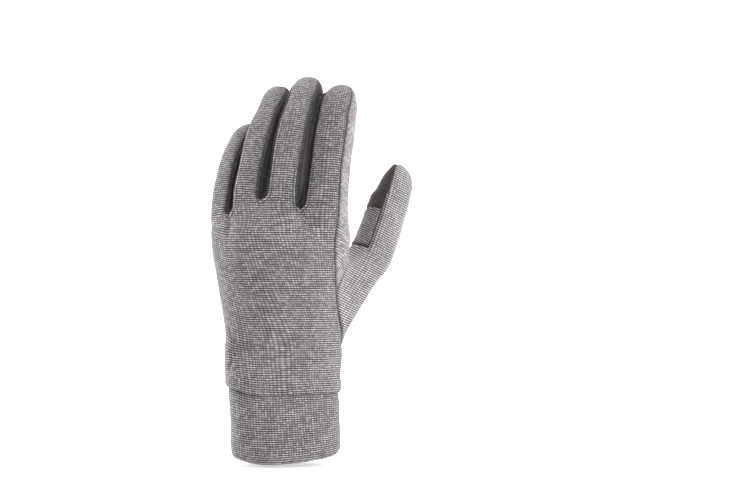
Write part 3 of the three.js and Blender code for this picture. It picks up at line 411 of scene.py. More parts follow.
footRow = meshSteps['seamToFoot']
pointRow = footRow + meshSteps['footToPoint']
crotchRow = pointRow + meshSteps['pointToCrotch']
rowCount = crotchRow + meshSteps['crotchToWeb']
handColumns = 4 * meshSteps['strip']
fingerOrder = dict(back=(0, 1, 2, 3), palm=(3, 2, 1, 0))


def alongFace(edges):
    # values at the columns of the four strips, with the given ones at the strips' edges
    q = shares(meshSteps['strip'])
    pairs = enumerate(zip(edges[:-1], edges[1:]))
    return np.concatenate([mix(a, b, q)[(i > 0):] for i, (a, b) in pairs])


def webHeights(face):
    # heights at which the columns meet the fingers' roots
    edges = [handShape['littleWeb'], *slotEnds[face], handShape['indexWeb']]
    return alongFace([heightAt(e) for e in (edges if face == 'back' else edges[::-1])])


def webAngles(face):
    # angles on the hand's section where the columns meet the fingers' roots
    side = 1 if face == 'back' else -1
    half = fingerForm['halfAngle']
    marks = [float(handAngle(slotMiddle(i, np.array(side * half), np.array(heightAt(end))), side))
             for i, end in enumerate(slotEnds[face])]
    if face == 'back':
        return alongFace([handShape['lowestLittleColumn'], *marks, half])
    return alongFace([-half, *marks[::-1], -180.0])


def edgeAngle(which, height):
    # edge of the back panel at a height, in degrees round the hand
    return curveThrough(panelEdges, which, shareAt(height))


def littleEdges(height):
    # the strip under the little finger opens at its point: its edge on the back and on the palm
    start, end = handShape['littlePoint'], handShape['littleWeb']
    opening = ease((shareAt(height) - start) / (end - start))
    edge = edgeAngle('littleSide', height)
    half = fingerForm['halfAngle']
    return mix(edge, 180 - half, opening), mix(edge, 180 + half, opening) - 360


def rootShare(height, webAt, face, fromLittleSide):
    # share of the fingers' form: eases from 0 to 1 over a zone below the web, shorter at the little side
    h = handShape
    full = h['backBlend'] if face == 'back' else h['palmBlend']
    zone = h['palmLength'] * mix(h['littleWeb'] - h['littlePoint'], full, np.clip(fromLittleSide, 0, 1))
    return ease((height - webAt + zone) / zone)


def handFace(face, angle, height):
    # the hand's section blended into the fingers' forms, which are carried down with the slots closed
    webs = webHeights(face)
    count = meshSteps['strip']
    q = shares(count)
    lo, hi = stripSpan(face, fingerForm['halfAngle'])
    roots = np.zeros(height.shape + (3,))
    for strip in range(4):
        index = fingerOrder[face][strip]
        columns = slice(strip * count, (strip + 1) * count + 1)
        along = alongAt(index, height[:, columns])
        points = fingerPoint(index, wrapAngle(mix(lo, hi, q))[None] + 0 * along, along)
        for (side, _), weight, edge, i in ((faces[face][1], 1 - q, lo, 0), (faces[face][2], q, hi, -1)):
            points = pullEdge(points, index, side, wrapAngle(edge), along[:, i], along[:, i], weight)
        roots[:, columns] = points
    columns = np.arange(handColumns + 1)
    fromLittleSide = (columns if face == 'back' else handColumns - columns) / count
    share = rootShare(height, webs[None], face, fromLittleSide[None])[..., None]
    points = mix(handPoint(angle, height), roots, share)
    return points, handCloth(height, fromLittleSide)


# the courses climb towards the fold at the little side: rise in mm, reach in strips, the rest in shares
sideLift = dict(rise=7.0, reach=0.9, low=0.1, high=1.02, over=0.3)


def handCloth(height, fromLittleSide):
    # cloth coordinates in mm: columns across, heights up, less the lift of the courses
    s = sideLift
    across = clothWidth['strip'] * (np.arange(handColumns + 1) / meshSteps['strip'])[None]
    lift = s['rise'] * ease(1 - fromLittleSide / s['reach'])[None]
    fade = ease((shareAt(height) - s['low']) / s['over']) * ease((s['high'] - shareAt(height)) / s['over'])
    return stack(across + 0 * height, height - lift * fade, 0)[..., :2]


def handBack(thumbSide, littleSide):
    # the back's grid: rows straight from side to side, bent to the webs by the square of their place
    webs, angles = webHeights('back'), webAngles('back')
    share = np.linspace(0, 1, handColumns + 1)[None]
    level = mix(heightAt(handShape['littleWeb']), heightAt(handShape['indexWeb']), share)
    lift = (np.linspace(0, 1, rowCount + 1)[:, None])**2
    height = mix(littleSide[:, None], thumbSide[:, None], share) + (webs[None] - level) * lift
    spread = ((angles - angles[0]) / (angles[-1] - angles[0]))[None]
    angle = mix(littleEdges(littleSide)[0][:, None], edgeAngle('thumbSide', thumbSide)[:, None], spread)
    return handFace('back', angle, height)


def holeEdge(share):
    # the thumb's hole: 0 at the crotch, 1 at the foot of the gusset
    t = thumbShape
    crotch, foot = heightAt(handShape['thumbCrotch']), heightAt(handShape['gussetFoot'])
    angle = mix(-fingerForm['halfAngle'], edgeAngle('thumbSide', foot), share)
    angle = angle - t['holeReach'] * np.abs(np.sin(np.pi * share))**t['holeFullness']
    return angle, mix(foot, crotch, (1 + np.cos(np.pi * share)) / 2)


def handPalm(thumbSide, littleSide):
    # the palm's grid; its first columns stop at the thumb's hole and stay empty beside it
    t, hole = thumbShape, meshSteps['hole']
    webs, angles = webHeights('palm'), webAngles('palm')
    spread = (angles - angles[0]) / (angles[-1] - angles[0])
    beyond = ((spread - spread[hole]) / (1 - spread[hole]))[hole + 1:]
    littleAngle = littleEdges(littleSide)[1]
    angle = np.zeros((rowCount + 1, handColumns + 1))
    height = np.zeros_like(angle)

    def rowFromHole(row, corner, tip):
        # a row that follows the hole's edge from its tip to its corner and goes on to the little side
        a, z = holeEdge(mix(tip, corner, np.linspace(0, 1, hole + 1)))
        return (np.concatenate([a, mix(a[-1], littleAngle[row], beyond)]),
                np.concatenate([z, mix(z[-1], littleSide[row], beyond)]))

    bottom = (mix(edgeAngle('thumbSide', heightAt(0)), littleAngle[0], spread),
              np.full_like(spread, heightAt(0)))
    foot = rowFromHole(footRow, t['holeLowCorner'], 1.0)
    crotch = rowFromHole(crotchRow, t['holeHighCorner'], 0.0)
    up = np.linspace(0, 1, footRow + 1)[:, None]
    angle[:footRow + 1] = mix(bottom[0], foot[0], up)
    height[:footRow + 1] = mix(bottom[1], foot[1], up)
    angle[:footRow + 1, 0] = edgeAngle('thumbSide', thumbSide[:footRow + 1])
    height[:footRow + 1, 0] = thumbSide[:footRow + 1]
    up = np.linspace(0, 1, rowCount - crotchRow + 1)[:, None]
    angle[crotchRow:] = mix(crotch[0], angles, up)
    height[crotchRow:] = mix(crotch[1], webs, up)
    toEnd = np.clip(1 - (handColumns - np.arange(handColumns + 1)) / meshSteps['strip'], 0, 1)
    angle[crotchRow:] += (littleAngle[crotchRow:] - angle[crotchRow:, -1])[:, None] * toEnd
    height[crotchRow:] += (littleSide[crotchRow:] - height[crotchRow:, -1])[:, None] * toEnd
    rows = slice(footRow + 1, crotchRow)
    beside = np.linspace(t['holeLowCorner'], t['holeHighCorner'], crotchRow - footRow + 1)[1:-1]
    a, z = holeEdge(beside)
    angle[rows, :hole], height[rows, :hole] = -90, heightAt(0.5)  # any place will do, they stay empty
    angle[rows, hole], height[rows, hole] = a, z
    angle[rows, hole + 1:] = mix(a[:, None], littleAngle[rows, None], beyond)
    height[rows, hole + 1:] = mix(z[:, None], littleSide[rows, None], beyond)
    angle[:, -1], height[:, -1] = littleAngle, littleSide
    points, cloth = handFace('palm', angle, height)
    points[rows, :hole] = np.nan
    return points, cloth


def handSide(index, firstRow, heights, spans, leftEdge, rightEdge):
    # a strip at the side of the hand between an edge of the back and an edge of the palm: the hand's
    # section blended into the finger, then moved to both edges by the share across
    q = shares(meshSteps['side'])
    face = 'little' if index == 0 else 'index'
    height = heights[firstRow:, None] + 0 * q[None]
    lo, hi = stripSpan(face, fingerForm['halfAngle'])
    onBack = q if index == 0 else 1 - q
    fromLittle = 0.0 if index == 0 else 1.0
    share = mix(rootShare(height, heights[-1], 'palm', fromLittle),
                rootShare(height, heights[-1], 'back', fromLittle), onBack)[..., None]
    finger = fingerPoint(index, wrapAngle(mix(lo, hi, q))[None] + 0 * height, alongAt(index, height))
    start, end = spans(heights[firstRow:])
    hand = handPoint(wrapAngle(mix(start[:, None], end[:, None], q[None])), height)
    points = mix(hand, finger, share)
    points = points + (leftEdge - points[:, 0])[:, None] * (1 - q)[:, None]
    right = points[:, -1].copy()
    right[len(right) - len(rightEdge):] = rightEdge
    points = points + (right - points[:, -1])[:, None] * q[:, None]
    if index == 0:
        lift = sideLift['rise'] * ease((sideLift['high'] - shareAt(height)) / sideLift['over'])
        return points, stack(clothWidth['side'] * q[None] + 0 * height, height - lift, 0)[..., :2]
    return points, clothCoordinates(face, clothWidth['side'] * q[None] + 0 * height, height)


def thumbAxis(share):
    # quadratic curve from root to tip, bowed to the thumb side
    t = thumbShape
    root = np.array([knuckleRight * t['acrossHand'] + t['width'] * t['acrossThumb'],
                     handShape['palmDepth'] * t['forward'], heightAt(t['height'])])
    lean, tilt = np.radians(t['lean']), np.radians(t['tilt'])
    direction = np.array([np.sin(lean) * np.cos(tilt), np.sin(tilt), np.cos(lean) * np.cos(tilt)])
    tip = root + t['length'] * direction
    bow = (root + tip) / 2 + np.array([2 * t['bow'] * t['length'], 0, 0])
    s = np.asarray(share, float)[..., None]
    return ((1 - s)**2 * root + 2 * s * (1 - s) * bow + s**2 * tip,
            unit(2 * (1 - s) * (bow - root) + 2 * s * (tip - bow)))


def thumbPoint(angle, share, out=1.0):
    # superellipse carried along the thumb's axis, flatter on the inner side; 180 degrees is the side to
    # the index finger, 90 the side of the back
    t = thumbShape
    centre, along = thumbAxis(share)
    side = unit(np.array([1.0, 0, 0]) - along * along[..., :1])
    front = np.cross(side, along)
    x, y = oval(t['width'] / 2 * curveThrough(thumbProfile, 'width', share) * out,
                t['depth'] / 2 * curveThrough(thumbProfile, 'depth', share) * out, t['square'], angle)
    x = np.where(x < 0, x * curveThrough(thumbProfile, 'inner', share), x)
    return centre + x[..., None] * side + y[..., None] * front


gussetSlant = 27.0  # slant of the courses on the thumb, degrees


def thumbTube(edge):
    # columns leave the edge of the hole on a cubic and turn into a round tube with a domed tip
    t, s = thumbShape, meshSteps
    count = len(edge)
    lengths = np.linalg.norm(np.roll(edge, -1, 0) - edge, axis=1)
    run = np.concatenate([[0], np.cumsum(lengths)[:-1]]) / lengths.sum()
    angle = 180 - 360 * mix(run, np.arange(count) / count, t['evenColumns'])
    target = thumbPoint(angle, np.full(count, t['tubeStart']))
    gap = np.linalg.norm(target - edge, axis=1)[:, None]
    v = np.linspace(0, 1, s['flare'] + 1)[:, None, None]
    low = (edge[:, 2:].max() - edge[:, 2:]) / np.ptp(edge[:, 2])
    leave = t['flareFrom'] * (target - edge) + t['footRise'] * gap * low**2 * np.array([0, 0, 1.0])
    flare = ((2 * v**3 - 3 * v**2 + 1) * edge + (v**3 - 2 * v**2 + v) * leave
             + (3 * v**2 - 2 * v**3) * target + (v**3 - v**2) * gap * thumbAxis(t['tubeStart'])[1])
    domeStart = 1 - t['domeShare'] * t['width'] / 2 / t['length']
    share = np.linspace(t['tubeStart'], domeStart, s['thumb'] + 1)[1:, None] + 0 * angle[None]
    tube = thumbPoint(angle[None] + 0 * share, share)
    dip = np.pi / 2 * np.linspace(0, 1, s['thumbEnd'] + 1)[1:, None]
    share = mix(domeStart, 1, np.sin(dip)) + 0 * angle[None]
    dome = thumbPoint(angle[None] + 0 * share, share, np.cos(dip))
    points = np.concatenate([flare, tube, dome])
    points = np.concatenate([points, points[:, :1]], 1)
    slant = np.radians(gussetSlant)
    along = points @ np.array([np.sin(slant), 0, np.cos(slant)])
    around = np.linspace(0, np.pi * t['width'], count + 1)[None] + 0 * along
    return points, stack(around, along, 0)[..., :2]


def makeNet():
    # all patches by name, each a grid of points and a grid of cloth coordinates; neighbours share edges
    thumbSide, littleSide = rowHeights()
    h, half = handShape, fingerForm['halfAngle']
    net = dict(back=handBack(thumbSide, littleSide), palm=handPalm(thumbSide, littleSide))
    back, palm = net['back'][0], net['palm'][0]

    def littleSpan(height):
        # angles of the strip under the little finger, from the palm's edge to the back's
        onBack, onPalm = littleEdges(height)
        return onPalm, onBack - 360

    def indexSpan(height):
        # angles of the strip under the index finger, which opens from its point by a power of the height
        start = edgeAngle('thumbSide', height)
        opening = (shareAt(height) - h['stripPoint']) / (h['thumbCrotch'] - h['stripPoint'])
        return start, mix(start, -half, np.clip(opening, 0, 1)**h['stripOpening'])

    net['littleSide'] = handSide(0, crotchRow, littleSide, littleSpan,
                                 palm[crotchRow:, -1], back[crotchRow:, 0])
    net['indexSide'] = handSide(3, pointRow, thumbSide, indexSpan,
                                back[pointRow:, -1], palm[crotchRow:, 0])
    for index in range(4):
        for face in faces:
            net[f'{face}{index}'] = fingerStrip(index, face)
        net[f'end{index}'] = fingerEnd(index)
    side = net['indexSide'][0][:crotchRow - pointRow + 1, -1][::-1]
    loop = np.concatenate([
        side, back[footRow:pointRow, -1][::-1], palm[footRow, 1:meshSteps['hole'] + 1],
        palm[footRow + 1:crotchRow + 1, meshSteps['hole']], palm[crotchRow, 1:meshSteps['hole']][::-1]])
    net['thumb'] = thumbTube(loop[::meshSteps['thumbSkip']])
    return net


net = makeNet()
print('net of the outer face:', len(net), 'patches')

joining = dict(stepsPerMm=500, emptyPlace=-999)  # points closer than a step are one


def joinNet():
    # number every distinct point of the net once and sum the face directions at each
    names = list(net)
    points = np.concatenate([net[name][0].reshape(-1, 3) for name in names])
    cloth = np.concatenate([net[name][1].reshape(-1, 2) for name in names])
    places = np.nan_to_num(points, nan=joining['emptyPlace']) * joining['stepsPerMm']
    keys = np.round(places).astype(np.int64)
    _, firsts, numbers = np.unique(keys, axis=0, return_index=True, return_inverse=True)
    numbers = numbers.ravel()
    quads, start = {}, 0
    for name in names:
        rows, columns = net[name][0].shape[:2]
        grid = start + np.arange(rows * columns).reshape(rows, columns)
        cells = np.stack([grid[:-1, :-1], grid[:-1, 1:], grid[1:, 1:], grid[1:, :-1]], -1)
        quads[name] = np.where(np.isnan(points[cells]).any((-1, -2))[..., None], -1, cells)
        start += rows * columns
    joined = points[firsts]
    outward = np.zeros_like(joined)
    for cells in quads.values():
        corners = cells.reshape(-1, 4)
        corners = corners[corners[:, 0] >= 0]
        a, b, c, d = (joined[numbers[corners[:, k]]] for k in range(4))
        direction = np.cross(c - a, d - b)
        for k in range(4):
            np.add.at(outward, numbers[corners[:, k]], direction)
    return joined, unit(outward), cloth, numbers, quads


joined, outward, cloth, numbers, quads = joinNet()

wristWave = dict(rise=3.6, across=-38.0, wide=10.0, dip=0.9, dipAcross=-8.0, dipWide=14.0, reach=13.0)


def wristRise(points):
    # how far the cloth round the wrist seam is pulled up at the little side and down in the middle: two
    # bells of the place across, faded by a bell of the height
    w = wristWave
    up = w['rise'] * np.exp(-((points[..., 0] - w['across']) / w['wide'])**2)
    down = w['dip'] * np.exp(-((points[..., 0] - w['dipAcross']) / w['dipWide'])**2)
    return (up - down) * np.exp(-((points[..., 2] - handShape['cuffHeight']) / w['reach'])**2)


joined[:, 2] += wristRise(joined)
gridNumbers = {}
start = 0
for name, (points, _) in net.items():
    rows, columns = points.shape[:2]
    gridNumbers[name] = numbers[start:start + rows * columns].reshape(rows, columns)
    start += rows * columns


def evenHoleDirections():
    # the thumb shares every few points of the hole's edge; the others take the direction between them
    g, hole = gridNumbers, meshSteps['hole']
    loop = np.concatenate([
        g['indexSide'][:crotchRow - pointRow + 1, -1][::-1], g['back'][footRow:pointRow, -1][::-1],
        g['palm'][footRow, 1:hole + 1], g['palm'][footRow + 1:crotchRow + 1, hole],
        g['palm'][crotchRow, 1:hole][::-1]])
    shared = np.arange(0, len(loop), meshSteps['thumbSkip'])
    places = np.arange(len(loop))
    for axis in range(3):
        values = outward[loop[shared], axis]
        outward[loop, axis] = np.interp(places, np.append(shared, len(loop)), np.append(values, values[0]))
    outward[loop] = unit(outward[loop])
    return loop


holeNumbers = evenHoleDirections()
rowsOf = {name: patch[0].shape[0] - 1 for name, patch in net.items()}
endHalf = meshSteps['side'] // 2
thumbColumns = net['thumb'][0].shape[1] - 1

# pads and the strip on the thumb: lengths from the tip in mm, edges of the strip in degrees
padShape = dict(indexLength=18.6, thumbLength=39.5, stripFromBack=104.0, stripFromPalm=-147.0)


def rowFromTip(name, column, length):
    # the row of a patch that lies the given length back from its last row
    line = net[name][0][:, column]
    run = np.cumsum(np.linalg.norm(np.diff(line[::-1], axis=0), axis=1))
    return rowsOf[name] - 1 - int(np.searchsorted(run, length))


indexPadRow = rowFromTip('palm3', meshSteps['strip'] // 2, padShape['indexLength'])
thumbPadRow = rowFromTip('thumb', 0, padShape['thumbLength'])
stripRow = meshSteps['flare']
tubeMiddle, tubeAlong = thumbAxis(thumbShape['tubeStart'])
tubeRing = net['thumb'][0][meshSteps['flare'], :-1] - tubeMiddle
tubeSide = unit(np.array([1.0, 0, 0]) - tubeAlong * tubeAlong[0])
tubeAngle = np.degrees(np.arctan2(tubeRing @ np.cross(tubeSide, tubeAlong), tubeRing @ tubeSide))
stripLast = int(np.argmin(np.abs(tubeAngle - padShape['stripFromBack'])))
stripFirst = int(np.argmin(np.abs(tubeAngle - padShape['stripFromPalm'])))


def everyCell(rows, columns):
    # all cells of a patch
    return np.ones((rows, columns), bool)


def onStrip(rows, columns):
    # cells of the thumb between the two edges of its strip
    column = np.arange(columns)[None]
    return (np.arange(rows)[:, None] >= stripRow) & ((column < stripLast) | (column >= stripFirst))


def above(row):
    # cells from a row on
    return lambda rows, columns: (np.arange(rows)[:, None] >= row) & everyCell(rows, columns)


def below(row):
    # cells before a row
    return lambda rows, columns: (np.arange(rows)[:, None] < row) & everyCell(rows, columns)


panels = dict(
    back_panel=[('back', everyCell), ('littleSide', everyCell), ('little0', everyCell)]
    + [(f'back{i}', everyCell) for i in range(4)] + [(f'end{i}', below(endHalf)) for i in range(4)],
    palm_panel=[('palm', everyCell), ('palm3', below(indexPadRow))]
    + [(f'palm{i}', everyCell) for i in range(3)] + [(f'end{i}', above(endHalf)) for i in range(3)],
    index_side_strip=[('indexSide', everyCell), ('index3', everyCell)],
    fourchette_little_ring=[('index0', everyCell), ('little1', everyCell)],
    fourchette_ring_middle=[('index1', everyCell), ('little2', everyCell)],
    fourchette_middle_index=[('index2', everyCell), ('little3', everyCell)],
    thumb=[('thumb', lambda r, c: ~onStrip(r, c))],
    thumb_palm_strip=[('thumb', lambda r, c: onStrip(r, c) & below(thumbPadRow)(r, c))],
    index_touch_patch=[('palm3', above(indexPadRow)), ('end3', above(endHalf))],
    thumb_touch_patch=[('thumb', lambda r, c: onStrip(r, c) & above(thumbPadRow)(r, c))])


def panelCells(name):
    # the four corners of every cell that a panel takes from its patches
    picked = []
    for patch, keep in panels[name]:
        rows, columns = rowsOf[patch], net[patch][0].shape[1] - 1
        cells = quads[patch].reshape(rows, columns, 4)[keep(rows, columns)]
        picked.append(cells[cells[:, 0] >= 0])
    return np.concatenate(picked)


# seams as ordered runs of the net's points, straight from the edges of its patches

def fingerEdge(i, face, side):
    # edge of a finger's back or palm, from its root to the middle of the fingertip
    column = -side if face == 'back' else side - 1
    end = gridNumbers[f'end{i}'][:, -side]
    tip = end[1:endHalf + 1] if face == 'back' else end[endHalf:-1][::-1]
    return np.concatenate([gridNumbers[f'{face}{i}'][:, column], tip])


seams = {f'slot{i}{face}': np.concatenate([fingerEdge(i, face, 1)[::-1], fingerEdge(i + 1, face, 0)[1:]])
         for i in range(3) for face in ('back', 'palm')}
seams['indexBack'] = np.concatenate([gridNumbers['back'][pointRow:, -1], fingerEdge(3, 'back', 1)[1:]])
seams['indexPalm'] = np.concatenate([gridNumbers['palm'][crotchRow:, 0], fingerEdge(3, 'palm', 1)[1:]])
seams['thumbHole'] = np.append(holeNumbers, holeNumbers[0])
seams['thumbSide'] = gridNumbers['back'][:footRow + 1, -1]
seams['wristBack'] = gridNumbers['back'][0]
seams['wristPalm'] = gridNumbers['palm'][0]
for i in range(4):
    seams[f'tip{i}'] = gridNumbers[f'end{i}'][endHalf]
seams['indexPad'] = gridNumbers['palm3'][indexPadRow]
ring = np.r_[stripFirst:thumbColumns, 0:stripLast + 1]
seams['thumbPad'] = gridNumbers['thumb'][thumbPadRow, ring]
seams['stripFoot'] = gridNumbers['thumb'][stripRow, ring]
seams['stripBack'] = gridNumbers['thumb'][stripRow:, stripLast]
seams['stripPalm'] = gridNumbers['thumb'][stripRow:, stripFirst]


pairsAtOnce = 4000000  # distances worked out in one block


def distanceTo(points, line, reach):
    # distance of each point to the nearest point of a run, found in blocks; beyond reach it stays at reach
    low, high = line.min(0) - reach, line.max(0) + reach
    near = np.flatnonzero(((points > low) & (points < high)).all(1))
    result = np.full(len(points), reach)
    for block in np.array_split(near, max(1, len(near) * len(line) // pairsAtOnce)):
        gaps = ((points[block, None] - line[None])**2).sum(-1).min(1)
        result[block] = np.minimum(np.sqrt(gaps), reach)
    return result


def evenLine(line, pitch, carried=None):
    # a point every pitch along a run of points, or what the run carries at those places
    steps = np.linalg.norm(np.diff(line, axis=0), axis=1)
    run = np.concatenate([[0], np.cumsum(steps)])
    places = np.arange(pitch / 2, run[-1], pitch)
    values = line if carried is None else carried
    return np.stack([np.interp(places, run, values[:, k]) for k in range(values.shape[1])], -1)


seamDepth = dict(deep=0.75, width=0.85, pillow=0.30, pillowAt=2.4, pillowWidth=1.3, reach=6.0, sample=0.35,
                 shadeWidth=0.9)  # mm
seamKinds = {name: 1.0 for name in seams}  # share of the full depth
seamKinds.update(wristBack=0.0, wristPalm=0.0, stripFoot=0.9, stripBack=0.8, stripPalm=0.8, thumbHole=0.7,
                 thumbSide=0.25)
# painted shade in the seams' creases: a share of its full darkness for each seam
seamShades = {name: 1.0 for name in seams}  # share of the full darkness
seamShades.update(wristBack=0.12, wristPalm=0.12, thumbSide=0.2, tip0=0.2, tip1=0.2, tip2=0.2, tip3=0.2)
gussetFade = 11.0  # the seams run out towards the gusset's foot over this length, mm
wristPuff = dict(height=0.45, at=5.5, wide=3.4, ripple=0.22, rippleLength=7.5, rippleStart=2.0,
                 rippleReach=8.0, waver=1.3, waverTurns=3.0, radius=37.0)


def seamRelief():
    # creases along all seams with a soft pillow beside them: two bells of the distance to the seam; a third
    # bell gives the painted shade in each crease
    s = seamDepth
    relief, nearest = np.zeros(len(joined)), np.full(len(joined), s['reach'])
    shade = np.zeros(len(joined))
    for name, run in seams.items():
        gap = distanceTo(joined, evenLine(joined[run], s['sample']), s['reach'])
        nearest = np.minimum(nearest, gap)
        relief = np.minimum(relief, -seamKinds[name] * s['deep'] * np.exp(-(gap / s['width'])**2))
        shade = np.maximum(shade, seamShades[name] * np.exp(-(gap / s['shadeWidth'])**2))
    foot = joined[gridNumbers['back'][footRow, -1]]
    runOut = ease(np.linalg.norm(joined - foot, axis=1) / gussetFade)
    pillow = s['pillow'] * np.exp(-((nearest - s['pillowAt']) / s['pillowWidth'])**2)
    return (relief + pillow * (nearest < s['reach'])) * runOut + wristRelief(), nearest, shade * runOut


wristRoll = dict(deep=0.45, width=1.7, crease=0.20, creaseWidth=0.8)  # mm


def rollIn(gap):
    # two bells of the distance to the wrist seam: a wide soft one and a narrow crease
    w = wristRoll
    return -w['deep'] * np.exp(-(gap / w['width'])**2) - w['crease'] * np.exp(-(gap / w['creaseWidth'])**2)


def wristRelief():
    # the hand's cloth puffs out above the cuff in a bell of the height, and the seam draws it into small
    # sine ripples round the wrist, whose spacing wavers
    w = wristPuff
    above = np.maximum(joined[:, 2] - wristRise(joined) - handShape['cuffHeight'], 0)
    around = np.arctan2(joined[:, 1], joined[:, 0]) * w['radius']
    turn = 2 * np.pi * around / w['rippleLength']
    ripple = np.sin(turn + w['waver'] * np.sin(turn / w['waverTurns']))
    ripple = ripple * ease(above / w['rippleStart']) * np.exp(-above / w['rippleReach'])
    return w['height'] * np.exp(-((above - w['at']) / w['wide'])**2) + w['ripple'] * ripple + rollIn(above)


seamReliefAt, seamGapAt, seamShadeAt = seamRelief()
print('seams:', len(seams))

softFolds = dict(seed=7, waves=36, shortest=16.0, longest=55.0, height=0.34)


def foldRelief(points):
    # a sum of seeded plane waves of different lengths and directions
    s = softFolds
    rng = np.random.default_rng(s['seed'])
    direction = unit(rng.normal(size=(s['waves'], 3)))
    length = rng.uniform(s['shortest'], s['longest'], s['waves'])
    start = rng.uniform(0, 2 * np.pi, s['waves'])
    share = length / length.mean()
    wave = np.cos(points @ (direction * (2 * np.pi / length)[:, None]).T + start) * share
    return s['height'] * wave.sum(1) / np.sqrt(s['waves'] / 2)


foldAt = foldRelief(joined)


def makeMesh(name, points, facesList, uv, floats):
    # a mesh from points in mm, with cloth coordinates at the faces' corners and values at the points
    mesh = bpy.data.meshes.new(name)
    mesh.from_pydata((points * mm).tolist(), [], facesList)
    layer = mesh.uv_layers.new(name='cloth')
    layer.data.foreach_set('uv', uv.astype(np.float32).ravel())
    for key, values in floats.items():
        attribute = mesh.attributes.new(key, 'FLOAT', 'POINT')
        attribute.data.foreach_set('value', values.astype(np.float32))
    mesh.polygons.foreach_set('use_smooth', np.ones(len(mesh.polygons), bool))
    mesh.update()
    obj = bpy.data.objects.new(name, mesh)
    bpy.context.scene.collection.objects.link(obj)
    return obj


# the strips between the fingers: distance from their seams at which their painted shade begins and is full,
# and how far they puff until they nearly meet, in mm
slotShadow = dict(start=-0.7, full=2.2)
slotPuff = dict(most=0.9, left=0.15, near=1.8, far=3.2)
fourchettes = dict(fourchette_little_ring=0, fourchette_ring_middle=1, fourchette_middle_index=2)


def puffBetween(slot, used, base):
    # half of the room left to the facing side of the slot, faded out where the slot is wide
    puff = np.zeros(len(used))
    sides = [gridNumbers[f'index{slot}'].ravel(), gridNumbers[f'little{slot + 1}'].ravel()]
    for own, facing in (sides, sides[::-1]):
        picked = np.flatnonzero(np.isin(used, own))
        gap = distanceTo(base[picked], joined[facing], slotPuff['far'])
        room = np.clip(gap / 2 - slotPuff['left'], 0, slotPuff['most'])
        puff[picked] = room * (1 - ease((gap - slotPuff['near']) / (slotPuff['far'] - slotPuff['near'])))
    return puff


# seam, first and last share of its run, and how far from the seam the rolled edge lies, mm; along it run a
# painted highlight and a painted shade line
rolledEdges = dict(
    back_panel=[('slot0back', 0.50, 0.80, 1.4), ('slot1back', 0.50, 0.77, 1.5),
                ('slot2back', 0.50, 0.64, 1.3), ('slot2back', 0.38, 0.50, 0.5)],
    thumb=[('stripFoot', 0.0, 1.0, 0.6), ('stripBack', 0.0, 0.65, 0.6)],
    thumb_palm_strip=[('thumbPad', 0.0, 1.0, 0.5)])
# seam, first and last share of its run, and the darkness of the painted shade on the cloth that turns in
# there
softEdges = dict(
    back_panel=[('slot0back', 0.08, 0.48, 0.5), ('slot1back', 0.08, 0.47, 0.7),
                ('slot2back', 0.06, 0.36, 0.7)],
    thumb=[('thumbHole', 0.0, 1.0, 0.75)], thumb_palm_strip=[('stripFoot', 0.0, 1.0, 1.0)])
softWidth = 1.9  # of the dark edges, mm


def partOfSeam(seam, first, last):
    # the points of a seam from one share of its run to another
    run = seams[seam]
    steps = len(run) - 1
    return evenLine(joined[run[int(first * steps):int(last * steps) + 1]], seamDepth['sample'])


def rolledGapAt(name, points):
    # distance to the nearest rolled edge of the panel: distance to its seam, less the inset
    gaps = [np.full(len(points), seamDepth['reach'])]
    for *row, inset in rolledEdges.get(name, []):
        gaps.append(distanceTo(points, partOfSeam(*row), seamDepth['reach'] + inset) - inset)
    return np.min(gaps, 0)


def softShadeAt(name, points):
    # a bell of the distance to each soft dark edge of the panel: painted shade where the cloth turns in
    result = np.zeros(len(points))
    for *row, dark in softEdges.get(name, []):
        gap = distanceTo(points, partOfSeam(*row), seamDepth['reach'])
        result -= dark * np.exp(-(gap / softWidth)**2)
    return result


puckers = [  # creases of the side seam above the cuff: places across and up, mm
    [(-37.6, 89.6), (-36.4, 85.6), (-35.2, 80.9), (-35.8, 74.3), (-35.3, 67.6), (-37.6, 61.6)],
    [(-33.9, 81.6), (-32.2, 76.9), (-32.2, 72.9), (-33.9, 68.9)]]
# dark and darkWidth give the painted shade in the creases
puckerShape = dict(deep=0.55, width=0.8, dark=1.1, darkWidth=0.6, pleat=0.5, pleatAt=(-34.0, 75.3),
                   pleatHalf=(1.3, 6.0))


def puckerAt(points):
    # two creases drawn on the back of the hand, bells of the distance to their lines, with a raised
    # pleat between them, a bell in both directions; the painted shade in the creases comes with it
    w = puckerShape
    flat, onBack = points[:, [0, 2]], points[:, 1] < 0
    lines = [evenLine(np.array(line), seamDepth['sample']) for line in puckers]
    gap = np.min([distanceTo(flat, line, seamDepth['reach']) for line in lines], 0)
    gap = np.where(onBack, gap, seamDepth['reach'])
    place = (flat - w['pleatAt']) / w['pleatHalf']
    pleat = w['pleat'] * np.exp(-(place**2).sum(1)) * onBack
    return pleat - w['deep'] * np.exp(-(gap / w['width'])**2), -w['dark'] * np.exp(-(gap / w['darkWidth'])**2)


stitchedEdge = dict(height=0.42, at=0.95, width=0.55)
stitchedSeams = dict(
    back_panel=[f'slot{i}back' for i in range(3)] + ['indexBack'],
    palm_panel=[f'slot{i}palm' for i in range(3)] + ['indexPalm'])


def stitchedRelief(name, points):
    # a raised bell of the distance to the panel's stitched seams, just inside its edge
    e = stitchedEdge
    lines = [evenLine(joined[seams[seam]], seamDepth['sample']) for seam in stitchedSeams[name]]
    gap = distanceTo(points, np.concatenate(lines), seamDepth['reach'])
    return e['height'] * np.exp(-((gap - e['at']) / e['width'])**2)


